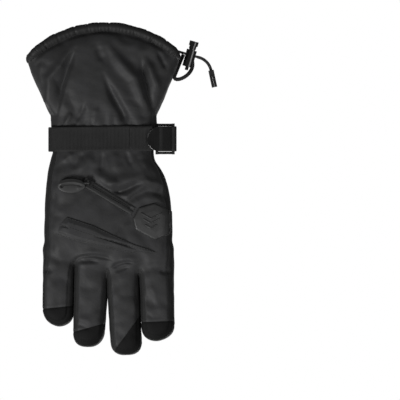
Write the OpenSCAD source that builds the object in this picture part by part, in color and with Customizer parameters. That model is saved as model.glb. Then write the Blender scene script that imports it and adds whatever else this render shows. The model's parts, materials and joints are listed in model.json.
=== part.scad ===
// Insulated ski glove for the right hand, laid flat: back of the hand towards -Y, palm
// towards +Y, cuff up +Z, fingers down -Z. The origin is the centre of the wrist, under
// the wrist strap. Every padded piece is drawn in its unworn shape.

/* [Hand] */
// Thickness of the hand and cuff from back to palm
hand_thick = 36; // [35.6:0.2:36.4]
// Half width of the hand across the knuckles
knuckle_half_w = 62.6; // [62.2:0.2:63.2]
// Height where the padded hand starts to thin towards the fingers
knuckle_z = -108; // [-110:0.5:-106]
// Height of the webs between the fingers
web_z = -125; // [-127:0.5:-124]

/* [Fingers: little, ring, middle, index] */
// Centre of each finger across the hand
finger_x = [-44.9, -13.3, 16.9, 49.0]; // [-50:0.1:50]
// Width of each finger at its root
finger_w = [30.2, 29.2, 28.6, 31.8]; // [27:0.2:32]
// Width of each finger near its tip
finger_tip_w = [26.5, 27.6, 27.2, 30.0]; // [25:0.2:31]
// Height of each fingertip
finger_tip_z = [-178, -197.6, -205.7, -192]; // [-210:0.1:-170]
// Height of the knuckle that each finger bends at
finger_bend_z = [-148, -158, -164, -158]; // [-166:1:-146]
// Sideways lean of each fingertip
finger_lean = [-1.2, -3.0, 2.6, 0.3]; // [-3:0.1:3]
// Thickness of a finger from back to palm
finger_thick = 26; // [25.6:0.2:26.4]
// Largest bend of a finger, in degrees
finger_bend = 70; // [50:5:70]

/* [Thumb] */
// Sideways place of the thumb's pivot
thumb_x = 40; // [39:0.5:41]
// Height of the thumb's pivot
thumb_z = -45; // [-47:0.5:-43]
// Thickness of the thumb from back to palm
thumb_thick = 26; // [25:0.5:27]

/* [Cuff] */
// Height of the line that the wrist bends about
wrist_z = 20; // [20:0.5:22]
// Largest bend of the wrist each way, in degrees
wrist_bend = 25; // [15:5:25]
// Radius of the arched hem, measured at the drawcord
hem_r = 104.5; // [104:0.5:105]
// Radius of the rolled hem that holds the drawcord
tunnel_r = 4.6; // [4.4:0.1:4.8]
// Radius of the elastic drawcord
cord_r = 1.5; // [1.2:0.1:1.6]

/* [Wrist strap] */
// Width of the webbing
strap_w = 23.2; // [22:0.2:23.2]
// Thickness of the webbing
strap_t = 1.4; // [1.2:0.1:1.5]
// Radius of the ring's bars
ring_bar_r = 1.4; // [1.2:0.1:1.4]
// Distance between the ring's two upright bars
ring_reach = 15.5; // [15:0.5:16]

/* [Pocket zip] */
// Length of the zip
zip_len = 50; // [48:1:50]
// Slope of the zip below the horizontal, in degrees
zip_slope = 31; // [30:1:32]

/* [Cord lock] */
// Lean of the lock's barrel away from upright, in degrees
lock_lean = 16; // [15:1:17]
// Outer radius of the barrel
barrel_r = 4.9; // [4.8:0.1:5]
// Travel of the push button
button_travel = 3.8; // [3:0.2:3.8]

/* [Hidden] */
$fn = 48;
hull_fn = 32;
finger_fn = 24;
slab = 0.02;
far = 400;

hand_r = hand_thick / 2;
finger_r = finger_thick / 2;
thumb_r = thumb_thick / 2;
thumb_y = hand_r + 1.5 + thumb_r;
gusset_y = 11;

// Depth of each layer's outer and inner face under the glove's surface
shell = [0, 1.2];
membrane = [1.3, 1.7];
padding = [1.8, 4.4];
tip_padding = [1.3, 4.4];
cuff_padding = [1.3, 3.0];
lining = [4.5, 5.2];
cuff_lining = [3.1, 3.8];

// Side walls run between the back and palm panels
side_half = 6;
seam = 0.05;

bend_gap = 1;
hand_centre_x = 2.4;
wrist_mid_x = -2.2;
wrist_half_w = 49.8;
wrist_low_z = -16;
finger_root_z = -104;
disc_inset = 0.5;
elastic_in = 2.1;

cuff_foot_z = 22;
cuff_top_z = 116;
hem_x = -1;
hem_z = 2.3;
hem_right = 57.8;
hem_left = 124.4;
hem_turn = hand_r - 1;
cord_bore = 2.2;

// Centre of the ring's inner bar, and of its outer bar
wrist_end_x = wrist_mid_x + wrist_half_w - hand_r;
bar_x = wrist_end_x + 21.7 * cos(30);
bar_y = -21.7 * sin(30);
outer_bar_x = bar_x + ring_reach;
ring_half_h = strap_w / 2 + 0.3 + ring_bar_r;

strap_y = -hand_r - 0.6;
loop_y = strap_y - strap_t - 0.1;
tab_y = loop_y - 1.9;
tab_x = 50.5;

zip_x = -17;
zip_z = -42;
zip_top = -hand_r - 0.15;
pull_pin_y = -hand_r - 5.3;

lock_x = 80.3;
lock_z = 79.7;
tail_x = 8.5;
tail_bend_r = 16;
tail_turn = 62;
clam_tilt = 90 - tail_turn;

// ---- outlines and sections ----

// A thin level slice with round ends: xc centre, hw half width, r end radius
module pill(xc, hw, r, z, y = 0, fn = hull_fn) {
    for (side = [-1, 1])
        translate([xc + side * (hw - r), y, z])
            cylinder(r = r, h = slab, $fn = fn);
}

// Points of an arc, for outlines
function arc(c, r, a0, a1, n = 12) =
    [for (i = [0:n]) let (a = a0 + (a1 - a0) * i / n) c + r * [cos(a), sin(a)]];

// Direction of a path at point i
function along(p, i) =
    let (a = p[max(i - 1, 0)], b = p[min(i + 1, len(p) - 1)]) (b - a) / norm(b - a);

// A path offset sideways by d
function beside(p, d) = [for (i = [0:len(p) - 1]) let (t = along(p, i)) p[i] + d * [-t[1], t[0]]];

function reversed(p) = [for (i = [len(p) - 1:-1:0]) p[i]];

// A flat band of thickness t that follows a path
module band(p, t) {
    polygon(concat(beside(p, t / 2), reversed(beside(p, -t / 2))));
}

function oval(a, b, n = 40) = [for (i = [0:n - 1]) [a * cos(360 * i / n), b * sin(360 * i / n)]];

// Stands an outline drawn in x and z up in front of the glove, from y0 to y1
module upright(y0, y1) {
    translate([0, y1, 0])
        rotate([90, 0, 0])
            linear_extrude(y1 - y0)
                children();
}

module box_between(a, b) {
    translate(a)
        cube(b - a);
}

// A cylinder along X through the point y, z
module rod_x(r, y, z) {
    translate([-far / 2, y, z])
        rotate([0, 90, 0])
            cylinder(r = r, h = far);
}

// A cylinder along Y through the point x, z
module rod_y(r, x, z, y0, y1) {
    translate([x, y1, z])
        rotate([90, 0, 0])
            cylinder(r = r, h = y1 - y0);
}

// ---- the soft forms, each at a depth d under the glove's surface ----

module hand_form(d) {
    hull() {
        pill(wrist_mid_x, wrist_half_w - d, hand_r - d, 40);
        pill(wrist_mid_x, wrist_half_w - d, hand_r - d, wrist_low_z);
    }
    hull() {
        pill(wrist_mid_x, wrist_half_w - d, hand_r - d, wrist_low_z);
        pill(1.8, knuckle_half_w - 1.8 - d, hand_r - d, -60);
        pill(hand_centre_x, knuckle_half_w - d, hand_r - d, knuckle_z);
        pill(hand_centre_x, knuckle_half_w - d, finger_r - d, web_z + d);
    }
}

module finger_form(f, d) {
    tip = finger_tip_z[f];
    tip_x = finger_x[f] + finger_lean[f];
    tip_hw = finger_tip_w[f] / 2;
    hull() {
        pill(finger_x[f], finger_w[f] / 2 - d, finger_r - d, finger_root_z, 0, finger_fn);
        pill(tip_x, tip_hw - d, finger_r - d, tip + 14 + d / 2, 0, finger_fn);
        pill(tip_x, tip_hw - 2.5 - d, finger_r - 2.5 - d, tip + 5 + d, 0, finger_fn);
        pill(tip_x, tip_hw - 7.6 - d, finger_r - 7.6 - d, tip + d, 0, finger_fn);
    }
}

module thumb_form(d) {
    hull() {
        pill(thumb_x + 2, 13 - d, 9 - d, -18 - d, thumb_y, finger_fn);
        pill(thumb_x + 2, 19 - d, thumb_r - d, -38, thumb_y, finger_fn);
        pill(thumb_x + 3, 18.6 - d, thumb_r - d, -88, thumb_y, finger_fn);
        pill(thumb_x, 13.2 - d, thumb_r - d, -134, thumb_y, finger_fn);
        pill(thumb_x, 7 - d, 6 - d, -148 + d, thumb_y, finger_fn);
    }
}

module cuff_form(d) {
    hull() {
        pill(-2, 50.5 - d, hand_r - d, cuff_foot_z);
        pill(-3.8, 91.6 - d, hand_r - d, cuff_top_z);
    }
}

// ---- what each joint needs clear ----

// The rounded root of a fingertip and everything below it
module tip_zone(f) {
    rod_x(finger_r - disc_inset, 0, finger_bend_z[f]);
    box_between([-far / 2, -far / 2, -far], [far / 2, far / 2, finger_bend_z[f]]);
}

// The room that the fingertip sweeps, seen from the hand
module finger_sweep(f) {
    hw = finger_w[f];
    room = finger_r + bend_gap;
    translate([finger_x[f], 0, finger_bend_z[f]]) {
        rotate([0, 90, 0])
            cylinder(r = room, h = 2 * hw, center = true);
        box_between([-hw, -room, -80], [hw, room, 0]);
        rotate([finger_bend, 0, 0])
            box_between([-hw, 0, -40], [hw, room, 0]);
    }
}

// The rounded top of the hand and everything below it
module hand_zone() {
    rod_x(hand_r - disc_inset, 0, wrist_z);
    box_between([-far / 2, -far / 2, -far], [far / 2, far / 2, wrist_z]);
}

// The room that the hand sweeps, seen from the cuff
module hand_sweep() {
    room = hand_r + bend_gap;
    slot = room - 0.3;
    rod_x(room, 0, wrist_z);
    for (side = [-1, 1])
        translate([0, 0, wrist_z])
            rotate([side * wrist_bend, 0, 0])
                box_between([-far / 2, -slot, -80], [far / 2, slot, 0]);
}

module thumb_hole(r, y0, y1) {
    rod_y(r, thumb_x, thumb_z, y0, y1);
}

// ---- layers ----

// The hand with its finger roots, which end in a hollow for the fingertips to turn in
module hand_body(d) {
    hand_form(d);
    for (f = [0:3])
        difference() {
            finger_form(f, d);
            finger_sweep(f);
        }
}

module hand_hollow(d) {
    hand_form(d);
    for (f = [0:3])
        finger_form(f, d);
}

// One layer of the hand and finger roots, between two depths
module hand_layer(depth) {
    difference() {
        intersection() {
            hand_body(depth[0]);
            hand_zone();
        }
        hand_hollow(depth[1]);
        thumb_hole(14.7, gusset_y, 30);
    }
}

// One layer of a fingertip, between two depths
module tip_layer(f, depth) {
    intersection() {
        difference() {
            finger_form(f, depth[0]);
            finger_form(f, depth[1]);
        }
        tip_zone(f);
    }
}

module thumb_layer(depth) {
    difference() {
        thumb_form(depth[0]);
        thumb_form(depth[1]);
        thumb_hole(15, thumb_y - thumb_r - 1, thumb_y - thumb_r + 5.5);
    }
}

module cuff_layer(depth) {
    difference() {
        intersection() {
            difference() {
                cuff_form(depth[0]);
                cuff_form(depth[1]);
            }
            rod_y(hem_r - tunnel_r - 0.4, hem_x, hem_z, -far, far);
        }
        hand_sweep();
    }
}

// A piece sewn on the back of the hand: an outline cut from a skin that stands out from
// the surface by the distances lift[0] to lift[1]
module back_applique(lift) {
    intersection() {
        difference() {
            hand_form(-lift[1]);
            hand_form(-lift[0]);
        }
        upright(-far / 2, -3)
            children();
    }
}

// ---- hand ----

module palm_seam() {
    polygon(concat(
        [[80, far], [80, -108], [22, -108], [0, -105], [-24, -96], [-46, -84], [-80, -70]],
        [[-80, far]]
    ));
}

module back_shell() {
    color("#2b2c2d")
        difference() {
            hand_layer(shell);
            box_between([-far / 2, -side_half - seam, -far], [far / 2, far, far]);
            zip_frame()
                box_between([2, -far / 2, -0.8], [zip_len - 4, 0, 0.8]);
        }
}

module palm_side_skin() {
    difference() {
        hand_layer(shell);
        box_between([-far / 2, -far, -far], [far / 2, side_half + seam, far]);
    }
}

module palm_panel() {
    color("#323131")
        difference() {
            palm_side_skin();
            upright(-far, far)
                palm_seam();
        }
}

module palm_heel_panel() {
    color("#383636")
        intersection() {
            palm_side_skin();
            translate([0, 0, 0.1])
                upright(-far, far)
                    palm_seam();
        }
}

module finger_sidewalls() {
    color("#202122")
        intersection() {
            hand_layer(shell);
            box_between([-far / 2, -side_half + seam, -far], [far / 2, side_half - seam, far]);
        }
}

module knuckle_band() {
    color("#303132")
        back_applique([0.1, 1.2])
            polygon([
                [-51.5, -88.7], [-36.5, -73.8], [-12.4, -81.7], [8.4, -91.6], [26.8, -99.7], [49, -107.6],
                [36, -107.6], [19.9, -107.6], [-3.1, -103.2], [-26.1, -97.4]
            ]);
}

// Outline of the badge: an uneven eight-sided plate
module badge_outline() {
    polygon([
        [25.7, -75.5], [27.9, -85.9], [46.9, -96], [60.1, -90.4],
        [61.7, -80.1], [61.4, -68.6], [46.4, -61.1], [31.4, -65.2]
    ]);
}

// Mountain-shaped chevron, drawn round the badge's centre
module chevron(half_w, rise, t) {
    band([[-half_w, -rise], [0, 0], [half_w, -rise]], t);
}

module badge() {
    color("#353637") {
        back_applique([0.1, 2.0])
            badge_outline();
        back_applique([1.9, 2.6])
            for (k = [0:2])
                translate([42.5, -70.5 - 5.5 * k])
                    chevron(9 - 2 * k, 5 - k, 1.6);
    }
}

// ---- pocket zip on the back of the hand ----

// x runs down the zip from its closed end, and z across it
module zip_frame() {
    translate([zip_x, 0, zip_z])
        rotate([0, zip_slope, 0])
            children();
}

module zip_tape() {
    color("#1c1c1d")
        zip_frame()
            for (side = [-1, 1])
                box_between(
                    [-3, zip_top - 0.6, side > 0 ? 0.9 : -5],
                    [zip_len, zip_top, side > 0 ? 5 : -0.9]
                );
}

// One row of teeth, drawn in x and z; side says which way the teeth point
module teeth_row(side) {
    pitch = 2;
    count = floor((zip_len - 6) / pitch);
    start = side > 0 ? 0 : pitch / 2;
    for (k = [0:count - 1])
        translate([start + k * pitch, side > 0 ? -0.5 : -1.7])
            square([0.8, 2.2]);
    translate([0, side > 0 ? 1.2 : -2.2])
        square([zip_len - 4, 1]);
}

module zip_teeth() {
    color("#161616")
        zip_frame()
            for (side = [-1, 1])
                upright(zip_top - 1.7, zip_top - 0.7)
                    teeth_row(side);
}

module zip_slider() {
    color("#1a1a1b")
        union() {
            zip_frame() {
                box_between([-4.5, zip_top - 2.9, -3.6], [4.5, zip_top - 1.9, 3.6]);
                for (side = [-1, 1])
                    box_between(
                        [-4.5, zip_top - 2, side > 0 ? 2.5 : -3.6],
                        [4.5, zip_top - 0.8, side > 0 ? 3.6 : -2.5]
                    );
            }
            translate([zip_x, 0, zip_z]) {
                for (side = [-1, 1])
                    box_between(
                        [-1, pull_pin_y - 1, side > 0 ? 1.9 : -2.8],
                        [1, zip_top - 2.7, side > 0 ? 2.8 : -1.9]
                    );
                translate([0, pull_pin_y, -2])
                    cylinder(r = 0.7, h = 4);
            }
        }
}

module zip_pull() {
    color("#242526")
        translate([zip_x, 0, zip_z])
            difference() {
                union() {
                    translate([0, pull_pin_y, -1.6])
                        cylinder(r = 1.7, h = 3.2);
                    box_between([-6, pull_pin_y - 0.9, -1.6], [-1, pull_pin_y + 0.9, 1.6]);
                    upright(pull_pin_y - 0.1, pull_pin_y + 2.1)
                        translate([-16, -2.5])
                            polygon(oval(13, 6.8));
                }
                translate([0, pull_pin_y, -3])
                    cylinder(r = 0.85, h = 6);
                rod_y(1.2, -25, -2.5, pull_pin_y - 3, pull_pin_y + 4);
            }
}

// The room for the pocket, taken out of the padding under the back
module pocket_room(grow) {
    box_between([-26 - grow, -hand_r + 1.75, -94 - grow], [22 + grow, -hand_r + 3.2 + grow, -46 + grow]);
}

module pocket_bag() {
    color("#3a3b3d")
        difference() {
            pocket_room(0);
            box_between([-25.6, -hand_r + 2.2, -93.6], [21.6, -hand_r + 2.8, 0]);
        }
}

// ---- inner layers of the hand ----

module hand_membrane() {
    color("#c9ccd0")
        difference() {
            hand_layer(membrane);
            pocket_room(0.1);
        }
}

module elastic_room(grow) {
    box_between([-36 - grow, hand_r - 3 - grow, -9 - grow], [32 + grow, hand_r - elastic_in + grow, 9 + grow]);
}

module wrist_elastic() {
    color("#4a4a4c")
        elastic_room(0);
}

module hand_insulation() {
    color("#e6e4dc")
        difference() {
            hand_layer(padding);
            pocket_room(0.1);
            elastic_room(0.08);
        }
}

module hand_lining() {
    color("#3f4247")
        hand_layer(lining);
}

// Short sleeve that joins the hand to the thumb
module thumb_gusset() {
    color("#262627")
        difference() {
            thumb_hole(14.5, gusset_y + 0.1, thumb_y - thumb_r + 5);
            thumb_hole(13, gusset_y - 1, thumb_y - thumb_r + 6);
        }
}

// ---- fingertips, which bend at the middle knuckle ----

module tip_shell(f) {
    color("#292a2b")
        tip_layer(f, shell);
}

// Grip patch on the palm side of a fingertip
module tip_patch(f) {
    color("#1d1d1e")
        intersection() {
            tip_layer(f, [-1.0, -0.05]);
            box_between([-far / 2, 4, -far], [far / 2, far, finger_bend_z[f] - finger_r - 3]);
        }
}

module tip_insulation(f) {
    color("#e6e4dc")
        tip_layer(f, tip_padding);
}

module tip_lining(f) {
    color("#3f4247")
        tip_layer(f, lining);
}

module little_tip_shell() tip_shell(0);
module little_tip_patch() tip_patch(0);
module little_tip_insulation() tip_insulation(0);
module little_tip_lining() tip_lining(0);
module ring_tip_shell() tip_shell(1);
module ring_tip_patch() tip_patch(1);
module ring_tip_insulation() tip_insulation(1);
module ring_tip_lining() tip_lining(1);
module middle_tip_shell() tip_shell(2);
module middle_tip_patch() tip_patch(2);
module middle_tip_insulation() tip_insulation(2);
module middle_tip_lining() tip_lining(2);
module index_tip_shell() tip_shell(3);
module index_tip_patch() tip_patch(3);
module index_tip_insulation() tip_insulation(3);
module index_tip_lining() tip_lining(3);

// ---- thumb, folded flat over the palm ----

module thumb_back_panel() {
    color("#131314")
        difference() {
            thumb_layer(shell);
            box_between([-far / 2, -far / 2, -far], [far / 2, thumb_y - 5 + seam, far]);
        }
}

module thumb_palm_panel() {
    color("#2e2d2d")
        intersection() {
            thumb_layer(shell);
            box_between([-far / 2, -far / 2, -far], [far / 2, thumb_y - 5 - seam, far]);
        }
}

module thumb_insulation() {
    color("#e6e4dc")
        thumb_layer(tip_padding);
}

module thumb_lining() {
    color("#3f4247")
        thumb_layer(lining);
}

// ---- cuff ----

module gauntlet_shell() {
    color("#2d2e2f")
        cuff_layer(shell);
}

module gauntlet_insulation() {
    color("#e6e4dc")
        cuff_layer(cuff_padding);
}

module gauntlet_lining() {
    color("#3f4247")
        cuff_layer(cuff_lining);
}

// One half of the hem's arch, on the back (side -1) or the palm (side 1)
module hem_arch(r, side) {
    translate([hem_x, 0, hem_z])
        rotate([0, -hem_right, 0])
            rotate([90, 0, 0])
                rotate_extrude(angle = hem_left - hem_right)
                    translate([hem_r, -side * hem_turn])
                        circle(r);
}

// Part of the turn at one end of the hem, at the angle on the arch
module hem_end(r, at, from = 0, turn = 180) {
    outward = at < 90 ? -90 : 90;
    translate([hem_x + hem_r * cos(at), 0, hem_z + hem_r * sin(at)])
        rotate([0, 90 - at, 0])
            rotate([0, 0, outward + from])
                rotate_extrude(angle = turn)
                    translate([hem_turn, 0])
                        circle(r);
}

// Short collar round each seam between an arch and a turn
module hem_collars(r) {
    for (at = [hem_right, hem_left], side = [-1, 1])
        translate([hem_x + hem_r * cos(at), side * hem_turn, hem_z + hem_r * sin(at)])
            rotate([0, 180 - at, 0])
                cylinder(r = r, h = 2.4, center = true);
}

module hem_loop(r, collar) {
    for (side = [-1, 1])
        hem_arch(r, side);
    hem_end(r, hem_right);
    hem_end(r, hem_left);
    hem_collars(r + collar);
}

module hem_tunnel() {
    color("#262728")
        difference() {
            hem_loop(tunnel_r, 0.25);
            hem_loop(cord_bore, 0.2);
            lock_frame()
                rotate([0, 90, 0])
                    translate([0, 0, -13.6])
                        cylinder(r = 1.9, h = 8);
        }
}

module drawcord() {
    color("#0f0f10") {
        for (side = [-1, 1])
            hem_arch(cord_r, side);
        hem_end(cord_r, hem_left);
        hem_end(cord_r, hem_right, 0, 60);
        hem_end(cord_r, hem_right, 120, 60);
        hem_collars(cord_r + 0.15);
    }
}

// ---- cord lock: z runs up the barrel, and x runs out along the cord ----

module lock_frame() {
    translate([lock_x, 0, lock_z])
        rotate([0, lock_lean, 0])
            children();
}

// Where a point x across the lock and s up it lies, in x and z
function lock_point(x, s) = [
    lock_x + x * cos(lock_lean) + s * sin(lock_lean),
    lock_z - x * sin(lock_lean) + s * cos(lock_lean)
];

// Tape loop that runs through the lock's eye and ties it to the side of the cuff
module lock_tape() {
    root = [63.9, 57];
    turn = [75.2, 61.4];
    color("#1b1b1c")
        upright(-3.5, 3.5)
            difference() {
                polygon(concat(
                    [root, root + [1.5, -2]], arc(turn, 6.9, -100, 35, 10),
                    [lock_point(2.4, -12.75), lock_point(-2.4, -12.75)]
                ));
                polygon(concat(
                    [root + [1.5, 0.2], root + [2.4, -0.9]], arc(turn, 6, -100, 35, 10),
                    [lock_point(2.2, -13.65), lock_point(-2.2, -13.65)]
                ));
            }
}

module lock_barrel() {
    color("#18191a")
        lock_frame()
            difference() {
                union() {
                    translate([0, 0, -11.5])
                        cylinder(r = barrel_r, h = 16.5);
                    box_between([-1.6, -4.6, -14.8], [1.6, 4.6, -11.4]);
                }
                translate([0, 0, -9.7])
                    cylinder(r = 3.5, h = 20);
                rotate([0, 90, 0])
                    cylinder(r = 1.8, h = 20, center = true);
                box_between([-3, -3.9, -13.9], [3, 3.9, -12.4]);
            }
}

module lock_plunger() {
    color("#222324")
        lock_frame()
            difference() {
                union() {
                    translate([0, 0, -5])
                        cylinder(r = 3.4, h = 14.5);
                    translate([0, 0, 9])
                        cylinder(r = 4.3, h = 4.5);
                }
                box_between([-5, -1.9, -1.4], [5, 1.9, 2 + button_travel]);
                translate([0, 0, -6])
                    cylinder(r = 2.7, h = 3.7);
            }
}

// Points round the wire at turn angle t of a coil
function coil_ring(t, r, pitch, wire, n) =
    [for (k = [0:n - 1]) let (a = 360 * k / n)
        [(r + wire * cos(a)) * cos(t), (r + wire * cos(a)) * sin(t), pitch * t / 360 + wire * sin(a)]];

module coil(r, pitch, turns, wire) {
    n = 6;
    steps = floor(14 * turns);
    points = [for (i = [0:steps]) each coil_ring(360 * turns * i / steps, r, pitch, wire, n)];
    sides = [for (i = [0:steps - 1], k = [0:n - 1])
        [i * n + k, (i + 1) * n + k, (i + 1) * n + (k + 1) % n, i * n + (k + 1) % n]];
    first = [for (k = [0:n - 1]) k];
    last = [for (k = [n - 1:-1:0]) steps * n + k];
    polyhedron(points, concat(sides, [first], [last]));
}

// Drawn at the length it has with the button pressed
module lock_spring() {
    color("#a9adb2")
        lock_frame()
            translate([0, 0, -9.3])
                coil(2.1, 0.78, 3.2, 0.3);
}

module cord_run() {
    color("#101011")
        lock_frame()
            rotate([0, 90, 0])
                translate([0, 0, -12.9])
                    cylinder(r = 1.2, h = 19.9);
}

// Hanging end of the cord: a quarter bend, then straight down into the cord end
module cord_tail() {
    color("#101011")
        lock_frame() {
            translate([tail_x, 0, 0])
                rotate([90, 0, 0])
                    cylinder(r = 1.35, h = 2.6, center = true);
            translate([tail_x, 0, -tail_bend_r])
                rotate([0, -clam_tilt, 0])
                    rotate([90, 0, 0])
                        rotate_extrude(angle = tail_turn)
                            translate([tail_bend_r, 0])
                                circle(1.2);
            clam_frame() {
                translate([0, 0, -7])
                    cylinder(r = 1.2, h = 7);
                translate([0, 0, -0.6])
                    cylinder(r = 1.32, h = 1.2);
            }
        }
}

// z runs back up the cord from the mouth of the cord end
module clam_frame() {
    translate([tail_x + tail_bend_r * cos(clam_tilt), 0, -tail_bend_r + tail_bend_r * sin(clam_tilt)])
        rotate([0, -clam_tilt, 0])
            children();
}

// One half of the cord end, cut from its outline in y and z: narrower at its mouth
module clam_half(x0, x1) {
    translate([x0, 0, 0])
        rotate([90, 0, 90])
            linear_extrude(x1 - x0)
                polygon([
                    [-4.2, 0], [4.2, 0], [7, -4], [7, -15], [5.8, -16.5],
                    [-5.8, -16.5], [-7, -15], [-7, -4]
                ]);
}

module cord_end_base() {
    color("#17181a")
        lock_frame()
            clam_frame()
                difference() {
                    clam_half(-2.6, -0.05);
                    translate([0, 0, -7.6])
                        cylinder(r = 1.4, h = 10);
                }
}

module cord_end_cover() {
    color("#1f2022")
        lock_frame()
            clam_frame()
                difference() {
                    clam_half(0.05, 2.6);
                    translate([0, 0, -7.6])
                        cylinder(r = 1.4, h = 10);
                    for (z = [-9.5, -13])
                        box_between([1.6, -4.5, z - 0.6], [4, 4.5, z + 0.6]);
                }
}

// ---- wrist strap ----

function strap_path() = concat(
    [[wrist_mid_x - wrist_half_w + hand_r + 5, -strap_y + strap_t / 2]],
    arc([wrist_mid_x - wrist_half_w + hand_r, 0], -strap_y + strap_t / 2, 90, 270, 24),
    [[44, strap_y - strap_t / 2]]
);

// Webbing sewn into the little-finger side and laid across the back of the wrist
module strap_webbing() {
    color("#1e1f20")
        translate([0, 0, -strap_w / 2])
            linear_extrude(strap_w)
                band(strap_path(), strap_t);
}

// Second layer of webbing that the free end grips
module strap_loop_patch() {
    color("#262728")
        box_between([24, loop_y - 1, -strap_w / 2 + 0.4], [44, loop_y, strap_w / 2 - 0.4]);
}

// Webbing tab that holds the ring's inner bar to the side of the wrist
module strap_anchor() {
    color("#1b1c1d")
        difference() {
            union() {
                translate([bar_x, bar_y, -6])
                    cylinder(r = 3, h = 12);
                translate([0, 0, -6])
                    linear_extrude(12)
                        band(arc([wrist_end_x, 0], hand_r + 1.2, -26, 28, 12), 1.1);
            }
            translate([bar_x, bar_y, -7])
                cylinder(r = ring_bar_r + 0.4, h = 14);
        }
}

module buckle_ring() {
    color("#121314") {
        for (x = [bar_x, outer_bar_x])
            translate([x, bar_y, -ring_half_h - ring_bar_r])
                cylinder(r = ring_bar_r, h = 2 * (ring_half_h + ring_bar_r));
        for (side = [-1, 1])
            translate([bar_x, bar_y, side * ring_half_h])
                rotate([0, 90, 0])
                    cylinder(r = ring_bar_r - 0.15, h = ring_reach);
    }
}

// Free end of the strap, looped round the ring's outer bar and folded back over the wrist
module strap_end() {
    color("#222324")
        difference() {
            translate([0, 0, -strap_w / 2 + 0.2]) {
                translate([outer_bar_x, bar_y, 0])
                    cylinder(r = ring_bar_r + 1.6, h = strap_w - 0.4);
                linear_extrude(strap_w - 0.4)
                    band([
                        [outer_bar_x - 1.2, bar_y - 1.8], [59, -16.4], [55, -20], [52.5, tab_y - 0.4],
                        [tab_x + 0.3, tab_y - 0.8]
                    ], strap_t);
            }
            translate([outer_bar_x, bar_y, -strap_w])
                cylinder(r = ring_bar_r + 0.35, h = 2 * strap_w);
        }
}

module hook_patch() {
    color("#2a2b2c")
        box_between([41.5, tab_y + 0.1, -8.5], [50, tab_y + 0.65, 8.5]);
}

// Moulded half-round end of the strap
module tab_end() {
    color("#0d0e0f")
        difference() {
            rod_y(strap_w / 2, tab_x, 0, tab_y - 1.6, tab_y);
            box_between([tab_x, -far, -far], [far, far, far]);
            for (k = [0:2])
                box_between([42 + 2.6 * k, tab_y - 3, -6], [43 + 2.6 * k, tab_y - 1.2, 6]);
        }
}

back_shell();
palm_panel();
palm_heel_panel();
finger_sidewalls();
knuckle_band();
badge();
zip_tape();
zip_teeth();
pocket_bag();
hand_membrane();
hand_insulation();
hand_lining();
thumb_gusset();
wrist_elastic();
strap_webbing();
strap_loop_patch();
strap_anchor();
little_tip_shell();
little_tip_patch();
little_tip_insulation();
little_tip_lining();
ring_tip_shell();
ring_tip_patch();
ring_tip_insulation();
ring_tip_lining();
middle_tip_shell();
middle_tip_patch();
middle_tip_insulation();
middle_tip_lining();
index_tip_shell();
index_tip_patch();
index_tip_insulation();
index_tip_lining();
thumb_back_panel();
thumb_palm_panel();
thumb_insulation();
thumb_lining();
gauntlet_shell();
gauntlet_insulation();
gauntlet_lining();
hem_tunnel();
drawcord();
lock_tape();
lock_barrel();
lock_spring();
lock_plunger();
cord_run();
cord_tail();
cord_end_base();
cord_end_cover();
buckle_ring();
strap_end();
hook_patch();
tab_end();
zip_slider();
zip_pull();
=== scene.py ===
"""Looks of an insulated ski glove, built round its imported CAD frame.

Lengths are in millimetres until a mesh is made. The glove hangs fingers down: -Y is the back of the
hand, +Y the palm, +X the index side. A Skin holds a surface twice: where it lies now, and where it
lay before folds and padding moved it, which is what seams and panels are drawn on.
"""

import json
import math

import bpy
import numpy as np
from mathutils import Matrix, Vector
from mathutils.bvhtree import BVHTree
from mathutils.kdtree import KDTree


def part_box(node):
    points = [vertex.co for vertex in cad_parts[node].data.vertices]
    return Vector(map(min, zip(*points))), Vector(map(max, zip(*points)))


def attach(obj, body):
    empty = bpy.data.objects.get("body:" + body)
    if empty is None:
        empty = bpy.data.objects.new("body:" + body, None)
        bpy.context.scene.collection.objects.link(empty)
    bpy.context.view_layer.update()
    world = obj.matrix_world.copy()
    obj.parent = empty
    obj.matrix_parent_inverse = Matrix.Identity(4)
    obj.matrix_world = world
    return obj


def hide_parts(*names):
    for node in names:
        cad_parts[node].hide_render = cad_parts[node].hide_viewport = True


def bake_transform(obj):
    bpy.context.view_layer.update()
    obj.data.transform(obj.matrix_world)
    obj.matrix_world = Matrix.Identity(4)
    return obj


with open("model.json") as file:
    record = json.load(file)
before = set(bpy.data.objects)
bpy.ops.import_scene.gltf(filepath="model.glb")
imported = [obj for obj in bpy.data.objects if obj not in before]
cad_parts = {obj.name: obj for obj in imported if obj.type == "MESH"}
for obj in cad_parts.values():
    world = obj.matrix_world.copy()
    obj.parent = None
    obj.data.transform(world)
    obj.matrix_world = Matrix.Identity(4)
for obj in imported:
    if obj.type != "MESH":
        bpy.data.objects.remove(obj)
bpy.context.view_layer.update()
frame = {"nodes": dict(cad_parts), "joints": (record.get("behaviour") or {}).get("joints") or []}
MM = 0.001


# ---- reading the frame ----


def box_of(node):
    low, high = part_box(node)
    return np.array(low) / MM, np.array(high) / MM


def joint_of(name):
    """Where a joint turns, in millimetres, and its axis. A slide has an axis only."""
    joint = next(j for j in frame["joints"] if j["name"] == name)
    return np.array(joint.get("pos_m", (0, 0, 0))) / MM, np.array(joint["axis"])


def points_of(node):
    return np.array([v.co for v in frame["nodes"][node].data.vertices]) / MM


FINGERS = ["little", "ring", "middle", "index"]
HAND_LOW, HAND_HIGH = box_of("back_shell")


def detail(quick, full):
    """Returns full; quick, a coarser value meant for a quick trial run, is not used."""
    return full


# ---- small maths ----


def smooth(x, start, end):
    """0 before start, 1 after end, with a soft step between."""
    t = np.clip((x - start) / (end - start), 0, 1)
    return t * t * (3 - 2 * t)


def bell(d, width):
    return np.exp(-((d / width) ** 2))


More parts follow.
